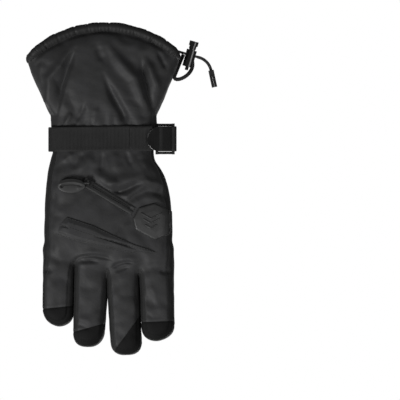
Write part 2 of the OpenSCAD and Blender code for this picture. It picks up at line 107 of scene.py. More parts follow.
def curve(x, knots):
    """A smooth curve through (x, value) knots, flat at both ends."""
    at, value = np.array(sorted(knots), float).T
    slope = np.zeros(len(at))
    slope[1:-1] = (value[2:] - value[:-2]) / (at[2:] - at[:-2])
    x = np.clip(x, at[0], at[-1])
    i = np.clip(np.searchsorted(at, x) - 1, 0, len(at) - 2)
    span = at[i + 1] - at[i]
    t = (x - at[i]) / span
    return (
        (2 * t**3 - 3 * t**2 + 1) * value[i]
        + (t**3 - 2 * t**2 + t) * span * slope[i]
        + (3 * t**2 - 2 * t**3) * value[i + 1]
        + (t**3 - t**2) * span * slope[i + 1]
    )


def blend_min(a, b, k):
    """The union of two distance fields, rounded over k where they meet."""
    h = np.clip(0.5 + (b - a) / (2 * k), 0, 1)
    return b * (1 - h) + a * h - k * h * (1 - h)


def waves(points, length, seed):
    """Smooth unevenness between about -1 and 1 with features of the given length."""
    rng = np.random.default_rng(seed)
    k = rng.normal(size=(9, points.shape[-1]))
    k *= 2 * np.pi / (length * rng.uniform(0.8, 1.9, (9, 1)) * np.linalg.norm(k, axis=1, keepdims=True))
    return np.sin(points @ k.T + rng.uniform(0, 2 * np.pi, 9)).mean(axis=-1) * 1.8


def path_distance(p, path):
    """Distance to a polyline in the XZ plane, and the share of the way along it."""
    x, z = p[:, 0], p[:, 2]
    best, share = np.full(len(p), 1e9), np.zeros(len(p))
    for i, ((ax, az), (bx, bz)) in enumerate(zip(path[:-1], path[1:])):
        dx, dz = bx - ax, bz - az
        t = np.clip(((x - ax) * dx + (z - az) * dz) / (dx * dx + dz * dz), 0, 1)
        d = np.hypot(x - ax - t * dx, z - az - t * dz)
        closer = d < best
        best = np.where(closer, d, best)
        share = np.where(closer, (i + t) / (len(path) - 1), share)
    return best, share


def inside_outline(p, outline):
    """Distance to a closed outline in the XZ plane, positive inside it."""
    x, z = p[:, 0], p[:, 2]
    closed = outline + [outline[0]]
    hit = np.zeros(len(p), bool)
    for (ax, az), (bx, bz) in zip(closed[:-1], closed[1:]):
        spans = (az > z) != (bz > z)
        hit ^= spans & (x < ax + (z - az) * (bx - ax) / np.where(bz == az, 1e-9, bz - az))
    d = path_distance(p, closed)[0]
    return np.where(hit, d, -d)


def round_steps(count):
    return 2 * np.pi * np.arange(count) / count


def unit(vectors):
    """Vectors made one long, along their last axis."""
    return vectors / np.maximum(np.linalg.norm(vectors, axis=-1, keepdims=True), 1e-12)


def folds(p, rows):
    """Height of ridges (+) and valleys (-): rows of (path, height, width), fading at their ends."""
    total = np.zeros(len(p))
    for path, height, width in rows:
        d, t = path_distance(p, path)
        fade = smooth(t, 0, 0.3) * (1 - smooth(t, 0.7, 1))
        total += height * bell(d, width * (0.55 + 0.45 * fade)) * (0.15 + 0.85 * fade)
    return total


# ---- surfaces ----


class Skin:
    def __init__(self, now, tris, rest=None):
        self.now = now
        self.tris = tris
        self.rest = now.copy() if rest is None else rest

    def normals(self):
        a, b, c = (self.now[self.tris[:, k]] for k in range(3))
        face = np.cross(b - a, c - a)
        total = np.zeros_like(self.now)
        for k in range(3):
            np.add.at(total, self.tris[:, k], face)
        return unit(total)

    def push(self, height):
        self.now = self.now + self.normals() * height[:, None]

    def edges(self):
        return np.vstack([self.tris[:, [0, 1]], self.tris[:, [1, 2]], self.tris[:, [2, 0]]])

    def relax(self, times):
        """Evens the surface out: each point goes halfway to the mean of its neighbours."""
        edges = self.edges()
        for _ in range(times):
            total, count = np.zeros_like(self.now), np.zeros(len(self.now))
            for a, b in (edges.T, edges.T[::-1]):
                np.add.at(total, a, self.now[b])
                np.add.at(count, a, 1)
            self.now = self.now + (total / np.maximum(count, 1)[:, None] - self.now) * 0.5

    def cut(self, values, near=0.12):
        """Splits triangles along values = 0, so that a seam runs on clean edges."""
        v = np.where(np.abs(values) < near, 0.0, values)
        sign = np.sign(v).astype(int)
        tris = self.tris
        pairs = [(0, 1), (1, 2), (2, 0)]
        crossed = np.stack([sign[tris[:, a]] * sign[tris[:, b]] < 0 for a, b in pairs], 1)
        ends = np.vstack([np.sort(tris[crossed[:, k]][:, pairs[k]], axis=1) for k in range(3)])
        if not len(ends):
            return
        count = len(self.now)
        key, where = np.unique(ends[:, 0] * count + ends[:, 1], return_inverse=True)
        a, b = key // count, key % count
        t = (v[a] / (v[a] - v[b]))[:, None]
        middle = np.full(crossed.shape, -1)
        split = np.cumsum([0] + [crossed[:, k].sum() for k in range(3)])
        for k in range(3):
            middle[crossed[:, k], k] = count + where[split[k] : split[k + 1]]
        total = crossed.sum(1)
        parts = [tris[total == 0]]
        for k in range(3):
            i, j, m = k, (k + 1) % 3, (k + 2) % 3
            one = (total == 1) & crossed[:, k]
            ti, tj, tm, e = tris[one, i], tris[one, j], tris[one, m], middle[one, k]
            parts += [np.stack([ti, e, tm], 1), np.stack([e, tj, tm], 1)]
            two = (total == 2) & crossed[:, k] & crossed[:, m]
            ti, tj, tm = tris[two, i], tris[two, j], tris[two, m]
            e, g = middle[two, k], middle[two, m]
            parts += [np.stack([ti, e, g], 1), np.stack([e, tj, tm], 1), np.stack([e, tm, g], 1)]
        self.now = np.vstack([self.now, self.now[a] * (1 - t) + self.now[b] * t])
        self.rest = np.vstack([self.rest, self.rest[a] * (1 - t) + self.rest[b] * t])
        self.tris = np.vstack(parts)

    def part(self, chosen):
        """The triangles chosen by a mask, as a Skin of their own, and which points it took."""
        tris = self.tris[chosen]
        used, where = np.unique(tris, return_inverse=True)
        return Skin(self.now[used], where.reshape(-1, 3), self.rest[used]), used

    def middles(self):
        return self.rest[self.tris].mean(axis=1)


def skin_of(field, low, high, cell):
    """The zero surface of a distance field, by surface nets."""
    axes = [np.arange(a, b + cell, cell) for a, b in zip(low, high)]
    x, y, z = np.meshgrid(*axes, indexing="ij")
    values = field(x, y, z)
    shape = np.array(values.shape) - 1
    total = np.zeros((*shape, 3))
    hits = np.zeros(shape)
    crossings = []
    for axis in range(3):
        first = tuple(slice(0, -1) if k == axis else slice(None) for k in range(3))
        second = tuple(slice(1, None) if k == axis else slice(None) for k in range(3))
        a, b = values[first], values[second]
        crossed = (a < 0) != (b < 0)
        t = np.where(crossed, a / np.where(crossed, a - b, 1), 0)
        crossings.append((crossed, a < 0))
        others = [k for k in range(3) if k != axis]
        for i in (0, 1):
            for j in (0, 1):
                take = [slice(None)] * 3
                take[others[0]] = slice(i, i + shape[others[0]])
                take[others[1]] = slice(j, j + shape[others[1]])
                e = crossed[tuple(take)]
                hits += e
                total[..., axis] += t[tuple(take)]
                total[..., others[0]] += e * i
                total[..., others[1]] += e * j
    active = hits > 0
    index = np.full(hits.shape, -1)
    index[active] = np.arange(active.sum())
    points = (np.argwhere(active) + total[active] / hits[active][:, None]) * cell + np.array(low)
    tris = []
    for axis, (crossed, inner) in enumerate(crossings):
        u, v = [(axis + 1) % 3, (axis + 2) % 3]
        where = np.argwhere(crossed)
        where = where[(where[:, u] > 0) & (where[:, v] > 0)]
        where = where[(where[:, u] < shape[u]) & (where[:, v] < shape[v])]
        step_u, step_v = np.eye(3, dtype=int)[u], np.eye(3, dtype=int)[v]
        corner = [index[tuple((where - du * step_u - dv * step_v).T)] for du, dv in
                  ((1, 1), (0, 1), (0, 0), (1, 0))]
        quad = np.stack(corner, 1)
        flip = ~inner[tuple(where.T)]
        quad[flip] = quad[flip][:, ::-1]
        tris += [quad[:, [0, 1, 2]], quad[:, [0, 2, 3]]]
    return Skin(points, np.vstack(tris))


def thicken(skin, depth, normals):
    """Points and triangles of a closed sheet of the given thickness, under the skin."""
    n = len(skin.now)
    points = np.vstack([skin.now, skin.now - normals * depth])
    edges = skin.edges()
    key = np.sort(edges, axis=1)
    _, first, count = np.unique(key[:, 0] * n + key[:, 1], return_index=True, return_counts=True)
    rim = edges[first[count == 1]]
    sides = [np.stack([rim[:, 1], rim[:, 0], rim[:, 0] + n], 1),
             np.stack([rim[:, 1], rim[:, 0] + n, rim[:, 1] + n], 1)]
    return points, np.vstack([skin.tris, skin.tris[:, ::-1] + n] + sides)


def grid(rows, around, ring=False):
    """Triangles over rows of points that close round; ring joins the last row to the first."""
    i, j = np.meshgrid(np.arange(rows if ring else rows - 1), np.arange(around), indexing="ij")
    up, k = (i + 1) % rows, (j + 1) % around
    a, b, c, d = i * around + j, i * around + k, up * around + k, up * around + j
    return np.vstack([np.stack([a, b, c], -1).reshape(-1, 3), np.stack([a, c, d], -1).reshape(-1, 3)])


def closed_grid(rows, around):
    """The same with a point before the first row and one after the last, which close the ends."""
    j = np.arange(around)
    k, last = (j + 1) % around, rows * around + 1
    start = np.stack([0 * j, k + 1, j + 1], 1)
    end = np.stack([0 * j + last, last - around + j, last - around + k], 1)
    return np.vstack([start, end, grid(rows, around) + 1])


# ---- forms ----

# The gaps between the fingers: middle and half width at the knuckles, and the height of each web
GAPS = [-29.9, 1.8, 32.6]
GAP_HALF = [-0.15, 0.1, 0.1]
CROTCH = [-118, -126, -127.5]
# How much wider each finger is than its CAD shell on its left and right, near its tip
TIP_WIDER = [(0, 1.9), (0.5, 0.7), (1.1, 0.3), (0.2, 0)]
TIP_SAMPLE = 14
# How far the gaps open while the surface is made, how each tip slants, and how the fingers lean
GAP_ROOM = 2.6
TIP_SLANT = [-0.28, 0.06, 0.02, 0.16]
SHINGLE = 0.14
FINGER_TOP = -96


class Finger:
    """One finger, read from its fingertip's CAD shell: centre and half width at any height."""

    def __init__(self, order):
        self.name = FINGERS[order]
        shell = points_of(f"{self.name}_tip_shell")
        low, high = shell.min(0), shell.max(0)
        self.tip = low[2]
        self.half_thick = high[1]
        self.bend = joint_of(f"{self.name}_bend")[0][2]
        self.heights = [self.tip + TIP_SAMPLE, high[2]]
        near_tip = shell[np.abs(shell[:, 2] - self.heights[0]) < 3, 0]
        top = shell[shell[:, 2] > high[2] - 2, 0]
        self.centres = [(near_tip.min() + near_tip.max()) / 2, (top.min() + top.max()) / 2]
        self.halves = [np.ptp(near_tip) / 2 + 0.5, np.ptp(top) / 2]
        left = GAPS[order - 1] + GAP_HALF[order - 1] if order > 0 else self.centres[1] - self.halves[1]
        right = GAPS[order] - GAP_HALF[order] if order < 3 else self.centres[1] + self.halves[1]
        self.centres[1], self.halves[1] = (left + right) / 2, (right - left) / 2
        more_left, more_right = TIP_WIDER[order]
        self.centres[0] += (more_right - more_left) / 2
        self.halves[0] += (more_left + more_right) / 2

    def along(self, z, values):
        t = (z - self.heights[0]) / (self.heights[1] - self.heights[0])
        return values[0] + (values[1] - values[0]) * np.clip(t, -1, 2.2)

    def centre(self, z):
        return self.along(z, self.centres)

    def half(self, z):
        return self.along(z, self.halves)


fingers = [Finger(k) for k in range(4)]


def finger_shift(k, z):
    """How far finger k stands aside while the surface is made, so that the gaps stay open."""
    open_by = [GAP_ROOM * smooth(-z, -c - 1, -c + 20) for c in CROTCH]
    return [-open_by[0] - open_by[1] / 2, -open_by[1] / 2, open_by[1] / 2, open_by[1] / 2 + open_by[2]][k]


def finger_field(k, x, y, z, spread=True):
    """A rounded box along the finger, closed at its tip and inside the hand."""
    f = fingers[k]
    centre = f.centre(z) + (finger_shift(k, z) if spread else 0)
    u = np.abs(x - centre) / f.half(z)
    v = np.abs(y) / (f.half_thick - 0.6 * smooth(-z, 150, 200))
    slant = TIP_SLANT[k] * (x - centre)
    tip = np.clip(1 - (z - f.tip - np.maximum(slant, 0)) / 16, 0, 4)
    top = np.clip(1 - (FINGER_TOP - z) / 10, 0, 4)
    n = 2.7
    return ((u**n + v**n + tip**2.5 + top**2.3) ** (1 / n) - 1) * f.half_thick


# The hand's sides: height, inset of the little-finger side and of the index side from the CAD shell
SIDES = [
    (45, 10.2, 18.2), (12, 9.0, 17.6), (-8, 9.2, 18.6), (-20, 6.6, 17.6), (-32, 3.9, 10.0),
    (-45, 2.4, 5.2), (-60, 1.4, 2.3), (-88, 0.4, 0.7), (-103, 1.0, 1.2), (-114, 1.3, 1.4), (-135, 2.2, 2.0),
]
# The lower edge of the hand across the webs: x, height. Its half thickness: height, thickness
WEBS = [(-45, -117), (-28, -118.5), (-12, -124), (2, -126), (18, -127.5), (34, -128), (50, -126)]
THICK = [(20, 17.4), (-10, 17.4), (-34, 18.6), (-62, 18.4), (-98, 17.0), (-118, 14.2), (-130, 12.8)]
HAND_TOP = 12


def hand_sides(z):
    left = HAND_LOW[0] + curve(z, [(h, a) for h, a, _ in SIDES])
    right = HAND_HIGH[0] - curve(z, [(h, b) for h, _, b in SIDES])
    return left, right


def hand_field(x, y, z):
    """The hand without its fingers: a flat loaf whose lower edge follows the webs."""
    left, right = hand_sides(z)
    centre, half = (left + right) / 2, (right - left) / 2
    thick = curve(z, THICK)
    u = np.clip(np.abs(x - centre) / half, 0, 1.3)
    over = np.maximum(np.abs(x - centre) - (half - thick), 0)
    body = np.hypot(over, y / (1 - 0.07 * u**2)) - thick
    end = np.clip(1 - (z - curve(x, WEBS)) / 12, 0, 4)
    return np.where(end > 0, np.hypot(np.maximum(body + 12, 0), end * 12) - 12, body)


def glove_field(x, y, z):
    near = [finger_field(k, x, y, z) for k in range(4)]
    joined = blend_min(hand_field(x, y, z), np.minimum.reduce(near), 3.5)
    return np.maximum(joined, z - HAND_TOP - 6)


def outline_field(p):
    """Distance outside the glove's outline as seen from the back, negative inside."""
    flat = (p[:, 0], np.zeros(len(p)), p[:, 2])
    near = [finger_field(k, *flat, spread=False) for k in range(4)]
    return blend_min(hand_field(*flat), np.minimum.reduce(near), 2.5)


THUMB_LOW, THUMB_HIGH = (np.array(v) for v in box_of("thumb_insulation"))
THUMB_Y = (THUMB_LOW[1] + THUMB_HIGH[1]) / 2
THUMB_TOP, THUMB_TIP = -5.5, THUMB_LOW[2] - 1.3
THUMB_ROOM = ([3, 6, THUMB_TIP - 3], [66, THUMB_HIGH[1] + 4, THUMB_TOP + 4])
# The thumb's left and right sides and the left edge of its fleece: height, x
THUMB_LEFT = [(-8, 6), (-27, 10.5), (-45, 12.5), (-66, 14), (-106, 17.5), (-125, 22), (-140, 27), (-150, 30)]
THUMB_RIGHT = [
    (-6, 41), (-18, 45), (-36, 52.5), (-64, 60.8), (-98, 61.4), (-118, 58), (-131, 54.5), (-150, 48),
]
THUMB_FLEECE = [(-8, 8.5), (-27, 13.5), (-57, 21), (-91, 26), (-117, 28), (-150, 29)]


def thumb_field(x, y, z):
    """The thumb over the palm: high and flat under its fleece, sloping to the palm beside it and
    fading into the wrist."""
    left, right = curve(z, THUMB_LEFT), curve(z, THUMB_RIGHT)
    fade = 1 - 0.74 * smooth(z, -64, -8)
    thick = (THUMB_HIGH[1] - THUMB_LOW[1] + 2.6) / 2
    base = THUMB_Y - thick - 6.5 * smooth(z, -44, -14)
    slope = 1 - 0.7 * smooth(curve(z, THUMB_FLEECE) + 2 - x, 0, 13)
    round_right = 1 - 0.12 * smooth(x - right, -14, 0)
    half = thick * fade * slope * round_right
    u = np.abs(x - (left + right) / 2) / ((right - left) / 2)
    v = np.abs(y - base - half) / half
    tip = np.clip(1 - (z - THUMB_TIP) / 18, 0, 4)
    top = np.clip(1 - (THUMB_TOP - z) / 10, 0, 4)
    return ((u**3 + v**2.4 + tip**2.2 + top**2.2) ** (1 / 2.4) - 1) * half


# ---- folds drawn on the surfaces: path in x and z, height, width ----

BACK_FOLDS = [
    ([(-10, -34), (2, -40), (12, -43)], 2.4, 4.5),
    ([(-3, -53), (6, -52), (18, -49), (28, -44), (38, -41)], -4.0, 2.8),
    ([(-6, -45), (12, -42), (34, -34)], 2.6, 5.0),
    ([(4, -60), (20, -55), (32, -49)], 1.4, 4.0),
    ([(20, -62), (27, -54), (38, -50), (50, -51.5), (62, -61)], -2.8, 4.0),
    ([(19, -56), (26, -46), (38, -40), (52, -43), (62, -52)], 1.3, 3.5),
    ([(-21, -12), (-27, -20), (-34, -30)], -2.0, 3.0),
    ([(-30, -13), (-36, -18), (-42, -22)], 1.2, 2.6),
    ([(-14, -14), (-19, -24), (-26, -34)], 1.3, 4.0),
    ([(-4, -11), (-4, -22), (-5, -33)], -1.9, 2.6),
    ([(19, -11), (21, -19), (25, -27)], -1.5, 2.4),
    ([(32, -12), (34, -20), (40, -28)], 1.0, 3.5),
    ([(8, -12), (9, -22), (12, -32)], 1.2, 4.0),
    ([(16, -80.5), (12, -86), (7.5, -92)], -0.7, 1.3),
    ([(-29, -118), (-27, -114.5), (-20, -111.5), (-10, -111), (0, -113), (7, -115)], -2.4, 1.6),
    ([(-28, -118), (-22, -116), (-14, -116), (-6, -117.5)], -1.5, 1.5),
    ([(-27, -111), (-14, -107), (2, -109)], 1.1, 3.0),
    ([(-26, -120), (-14, -119.5), (-4, -121)], 0.9, 2.4),
    ([(6, -124), (12, -120), (20, -117), (30, -118)], -2.4, 1.7),
    ([(9, -127), (16, -123.5), (25, -121)], -1.5, 1.5),
    ([(12, -115), (22, -113.5), (31, -115)], 0.9, 2.6),
    ([(-62, -124), (-55, -125), (-50, -125.5)], -1.8, 2.2),
    ([(52, -126), (58, -126.5), (67, -126)], -1.8, 2.2),
    ([(-27, -176), (-20, -178), (-13, -181)], -0.7, 1.6),
    ([(-25, -170), (-17, -172), (-12, -176)], 0.5, 2.2),
    ([(38, -142), (41, -150), (40, -158)], -0.5, 2.0),
    ([(44, -138), (48, -146), (47, -156)], 0.5, 2.6),
    ([(40, -166), (46, -170), (53, -168)], -0.5, 1.8),
]
PALM_FOLDS = [
    ([(-11, -12), (-9, -36), (-8, -60), (-6, -72)], -2.6, 2.2),
    ([(-17, -14), (-16, -40), (-14, -64)], 1.6, 4.0),
    ([(-3, -14), (-3, -40), (-3, -66)], 1.5, 3.6),
    ([(-25, -12), (-23, -32), (-16, -56)], -1.6, 2.4),
    ([(-32, -12), (-31, -28), (-25, -50)], 1.3, 4.0),
    ([(-40, -14), (-38, -26), (-33, -44)], -1.2, 2.4),
    ([(3, -12), (4, -28), (3, -46)], -1.1, 2.2),
    ([(-56, -64), (-40, -70), (-26, -72)], -0.9, 2.4),
    ([(-44, -128), (-44, -129), (-38, -129)], -0.6, 1.6),
    ([(-24, -131), (-14, -130), (-3, -131)], -0.8, 1.7),
    ([(6, -134), (17, -133), (28, -134)], -0.8, 1.7),
    ([(38, -131), (50, -130), (62, -131)], -0.8, 1.7),
]
CUFF_BACK_FOLDS = [
    ([(-33, 86), (-43, 70), (-53, 58), (-54, 38), (-50, 26)], 3.4, 5.0),
    ([(-29, 84), (-36, 68), (-43, 48), (-47, 24)], -3.2, 3.6),
    ([(2, 88), (14, 71), (27, 57), (33, 42), (38, 26)], 3.2, 5.5),
    ([(-2, 60), (8, 38), (17, 22), (20, 12)], -3.6, 4.0),
    ([(-8, 88), (-6, 80), (-2, 72)], -1.2, 3.2),
    ([(33, 76), (36, 60), (41, 42), (47, 22)], -3.0, 3.4),
    ([(38, 76), (45, 60), (50, 44)], 2.4, 4.0),
    ([(48, 84), (54, 74), (58, 66)], -1.4, 2.4),
    ([(-60, 74), (-62, 62), (-60, 48)], 1.2, 4.0),
    ([(-20, 34), (-24, 24), (-30, 15)], -1.2, 2.6),
    ([(-8, 30), (-10, 22), (-12, 13)], 1.1, 3.0),
    ([(-33, 26), (-36, 19), (-40, 13)], 1.2, 2.6),
]
CUFF_PALM_FOLDS = [
    ([(-12, 78), (-12, 52), (-11, 30), (-10, 14)], -3.0, 3.2),
    ([(-18, 82), (-19, 54), (-17, 28)], 2.2, 4.5),
    ([(-4, 80), (-3, 54), (-4, 26)], 1.8, 5.0),
    ([(-50, 70), (-44, 44), (-36, 16)], -2.4, 3.4),
    ([(-60, 62), (-52, 40), (-44, 18)], 2.0, 4.6),
    ([(-34, 78), (-30, 46), (-25, 14)], -1.9, 3.0),
    ([(24, 80), (18, 48), (12, 14)], -2.2, 3.2),
    ([(34, 78), (28, 46), (22, 16)], 1.8, 4.4),
    ([(50, 68), (42, 42), (32, 14)], -2.4, 3.4),
    ([(58, 58), (50, 38), (40, 16)], 1.6, 4.0),
]


# ---- padding: cloth under pressure, held at its seams ----


def add_object(name, data):
    obj = bpy.data.objects.new(name, data)
    bpy.context.scene.collection.objects.link(obj)
    return obj


def add_mesh(name, points, faces):
    mesh = bpy.data.meshes.new(name)
    mesh.from_pydata((np.asarray(points) * MM).tolist(), [], faces)
    return add_object(name, mesh)


def shape_of(obj):
    """Points and faces of an object as its modifiers leave it."""
    made = obj.evaluated_get(bpy.context.evaluated_depsgraph_get()).to_mesh()
    return np.array([v.co for v in made.vertices]) / MM, [list(f.vertices) for f in made.polygons]


def coarse_copy(skin, voxel):
    """A closed skin remeshed to even squares, as points and faces."""
    obj = add_mesh("remesh", skin.now, skin.tris.tolist())
    remesh = obj.modifiers.new("remesh", "REMESH")
    remesh.mode = "VOXEL"
    remesh.voxel_size = voxel * MM
    points, faces = shape_of(obj)
    bpy.data.objects.remove(obj)
    return points, faces


def run_cloth(points, faces, held, pressure, growth, stiff):
    """How far a cloth under pressure moves each point in 20 steps."""
    copy = add_mesh("swell", points, faces)
    pins = copy.vertex_groups.new(name="pins")
    for i, w in enumerate(np.clip(held(points), 0, 1)):
        pins.add([i], float(w), "REPLACE")
    cloth = copy.modifiers.new("cloth", "CLOTH")
    cloth.collision_settings.use_collision = False
    cloth.settings.effector_weights.gravity = 0
    rules = dict(quality=5, mass=0.2, tension_stiffness=12, compression_stiffness=12, shear_stiffness=5,
                 bending_stiffness=stiff, use_pressure=True, uniform_pressure_force=pressure,
                 shrink_min=-growth, shrink_max=-growth, vertex_group_mass="pins", pin_stiffness=3)
    for key, value in rules.items():
        setattr(cloth.settings, key, value)
    scene = bpy.context.scene
    for step in range(1, 21):
        scene.frame_set(step)
        bpy.context.view_layer.update()
    moved = shape_of(copy)[0] - points
    scene.frame_set(1)
    bpy.data.objects.remove(copy)
    return moved


def swell(skin, held, pressure, growth, cap, voxel, stiff=0.6, coarse=None):
    """Puffs a skin up between the places where held(points) is near 1. The cloth is a coarse copy,
    whose moves, limited to about cap, are spread over the skin's own points."""
    start, faces = coarse_copy(skin, voxel) if coarse is None else coarse
    moved = run_cloth(start, faces, held, pressure, growth, stiff)
    length = np.linalg.norm(moved, axis=1, keepdims=True)
    moved *= cap * np.tanh(length / cap) / np.maximum(length, 1e-9)
    tree = KDTree(len(start))
    for i, p in enumerate(start):
        tree.insert(p, i)
    tree.balance()
    shift = np.zeros_like(skin.now)
    for i, p in enumerate(skin.now):
        near = tree.find_n(p, 7)
        weight = np.exp(-((np.array([n[2] for n in near]) / (0.8 * voxel)) ** 2)) + 1e-9
        shift[i] = (weight[:, None] * moved[[n[1] for n in near]]).sum(0) / weight.sum()
    skin.now = skin.now + shift


# ---- making pieces ----

materials = {}
surfaces = {}


def piece(name, points, tris, slots, rides, stands_for=None, normals=None, picks=None, sharp=50):
    """A finished mesh. rides is a body to attach it to; given (body, body, start, end) instead, it is
    attached to nothing and does not bend.
    """
    obj = add_mesh(name, points, np.asarray(tris).tolist())
    mesh = obj.data
    mesh.validate()
    surfaces[name] = (np.asarray(points), np.asarray(tris))
    slots = [slots] if isinstance(slots, str) else slots
    for slot in slots:
        mesh.materials.append(materials[slot])
    mesh.polygons.foreach_set("use_smooth", np.ones(len(mesh.polygons), bool))
    if picks is not None:
        mesh.polygons.foreach_set("material_index", np.asarray(picks, np.int32))
    mesh.set_sharp_from_angle(angle=math.radians(sharp))
    if normals is not None:
        loops = np.zeros(len(mesh.loops), np.int32)
        mesh.loops.foreach_get("vertex_index", loops)
        known = np.zeros((len(mesh.vertices), 3))
        known[: len(normals)] = normals
        mesh.normals_split_custom_set(known[loops].tolist())
    if isinstance(rides, str):
        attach(obj, rides)
    else:
        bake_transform(obj)
    if stands_for:
        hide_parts(stands_for)


def cloth_piece(name, skin, slots, rides, stands_for=None, chosen=None, depth=1.1, picks=None, lift=None):
    """One sewn panel cut from a skin: a closed sheet, shaded as part of the whole skin."""
    chosen = np.ones(len(skin.tris), bool) if chosen is None else chosen
    part, used = skin.part(chosen)
    shade = whole = skin.normals()[used]
    if lift is not None:
        part.now = part.now + whole * lift[used][:, None]
        shade, whole = None, part.normals()
    points, tris = thicken(part, depth, whole)
    if picks is not None:
        rim = len(tris) - 2 * chosen.sum()
        picks = np.concatenate([picks[chosen], picks[chosen], np.full(rim, picks[chosen][0])])
    piece(name, points, tris, slots, rides, stands_for, shade, picks)


# ---- materials ----


def add_node(tree, kind, settings=None, **inputs):
    """A new node; inputs by name, with _ for a space, each a value or another node's output."""
    made = tree.nodes.new("ShaderNode" + kind)
    for key, value in (settings or {}).items():
        setattr(made, key, value)
    for key, value in inputs.items():
        socket = made.inputs[int(key[2:])] if key.startswith("in") else made.inputs[key.replace("_", " ")]
        if isinstance(value, bpy.types.NodeSocket):
            tree.links.new(value, socket)
        else:
            socket.default_value = value
    return made


class Shader:
    """A material while it is made. Its textures lie on object coordinates in millimetres."""

    def __init__(self, name, **values):
        materials[name] = bpy.data.materials.new(name)
        materials[name].use_nodes = True
        self.tree = materials[name].node_tree
        self.main = self.tree.nodes["Principled BSDF"]
        for key, value in values.items():
            self.main.inputs[key.replace("_", " ")].default_value = value
        at = self.add("TexCoord").outputs["Object"]
        self.at = self.add("VectorMath", {"operation": "SCALE"}, Vector=at, Scale=1 / MM).outputs[0]

    def add(self, kind, settings=None, **inputs):
        return add_node(self.tree, kind, settings, **inputs)

    def maths(self, operation, a, b=0.0):
        return self.add("Math", {"operation": operation}, in0=a, in1=b).outputs[0]

    def mix(self, a, share_a, b, share_b):
        return self.maths("ADD", self.maths("MULTIPLY", a, share_a), self.maths("MULTIPLY", b, share_b))

    def noise(self, length, detail, rough=0.55):
        made = self.add("TexNoise", Vector=self.at, Scale=1 / length, Detail=detail, Roughness=rough)
        return made.outputs[0]

    def spread(self, value, low, high, start=0.0, end=1.0):
        """value mapped from start..end to low..high."""
        made = self.add("MapRange", Value=value, From_Min=start, From_Max=end, To_Min=low, To_Max=high)
        return made.outputs[0]

    def weave(self, pitch, twill):
        """Over-and-under threads of a plain weave, 0 to 1; twill slants it."""
        parts = self.add("SeparateXYZ", Vector=self.at).outputs
        deep = self.maths("MULTIPLY", parts[1], 0.7)
        across, up = self.maths("ADD", parts[0], deep), self.maths("ADD", parts[2], deep)
        slanted = self.maths("ADD", across, self.maths("MULTIPLY", up, twill))
        turn = 2 * math.pi / pitch
        warp, weft = (self.maths("SINE", self.maths("MULTIPLY", d, turn)) for d in (slanted, up))
        return self.spread(self.maths("MULTIPLY", warp, weft), 0, 1, -1, 1)

    def colour(self, value, dark, light):
        """A grey between dark and light, chosen by value."""
        ramp = self.add("ValToRGB", Fac=value)
        for stop, place, shade in zip(ramp.color_ramp.elements, (0.3, 0.7), (dark, light)):
            stop.position, stop.color = place, (*shade, 1)
        self.tree.links.new(ramp.outputs[0], self.main.inputs["Base Color"])

    def roughness(self, value):
        self.tree.links.new(value, self.main.inputs["Roughness"])

    def relief(self, *layers):
        """Fine relief over the real shape: rows of (texture, height in millimetres)."""
        below = None
        for texture, height in layers:
            made = self.add("Bump", Height=texture, Distance=height * MM, Strength=1.0)
            if below is not None:
                self.tree.links.new(below, made.inputs["Normal"])
            below = made.outputs[0]
        self.tree.links.new(below, self.main.inputs["Normal"])


def fabric(name, dark, light, roughness, pitch, depth, sheen=0.25, crinkle=0.25, twill=0.0, gloss=0.4):
    """Woven cloth: threads, mottled dye, and small creases that catch the light."""
    s = Shader(name, Sheen_Weight=sheen, Sheen_Roughness=0.45, Specular_IOR_Level=gloss)
    threads, mottle = s.weave(pitch, twill), s.noise(14, 4)
    s.colour(s.mix(mottle, 0.7, threads, 0.3), dark, light)
    worn = s.maths("MULTIPLY", s.maths("SUBTRACT", 0.5, threads), 0.08)
    s.roughness(s.maths("ADD", s.spread(mottle, roughness - 0.05, roughness + 0.05), worn))
    s.relief((s.noise(6.5, 4, 0.6), crinkle), (threads, depth), (s.noise(0.6, 2), depth * 0.5))


def leather(name, dark, light, roughness, grain=1.1, depth=0.09):
    """Coated synthetic leather: fine pebbled grain with shallow creases."""
    s = Shader(name, Specular_IOR_Level=0.45)
    cells = s.add("TexVoronoi", Vector=s.at, Scale=1 / grain, Randomness=1.0).outputs["Distance"]
    mottle = s.noise(22, 3)
    s.colour(mottle, dark, light)
    worn = s.maths("MULTIPLY", cells, 0.12)
    s.roughness(s.maths("ADD", s.spread(mottle, roughness - 0.06, roughness + 0.04), worn))
    s.relief((s.noise(5, 5, 0.6), 0.22), (cells, -depth))


def pile(name, dark, light, length, depth, sheen):
    """Brushed fleece or lining: soft uneven pile with a strong sheen at grazing angles."""
    s = Shader(name, Sheen_Weight=sheen, Sheen_Roughness=0.6, Specular_IOR_Level=0.15)
    tufts = s.noise(length * 2, 4, 0.7)
    s.colour(s.mix(tufts, 0.55, s.noise(11, 3), 0.45), dark, light)
    s.roughness(s.spread(tufts, 0.85, 1.0))
    s.relief((tufts, depth))


def moulded(name, dark, light, roughness, coat=0.0, depth=0.03, metallic=0.0):
    """Moulded plastic, rubber or wire: fine spark texture and faint flow marks."""
    s = Shader(name, Coat_Weight=coat, Coat_Roughness=0.12, Metallic=metallic)
    flow = s.noise(5, 4)
    s.colour(flow, dark, light)
    s.roughness(s.spread(flow, roughness - 0.07, roughness + 0.07))
    s.relief((s.noise(0.35, 3), depth))


def grey(value, warm=0.0, cool=0.0):
    return (value * (1 + warm), value, value * (1 + cool))


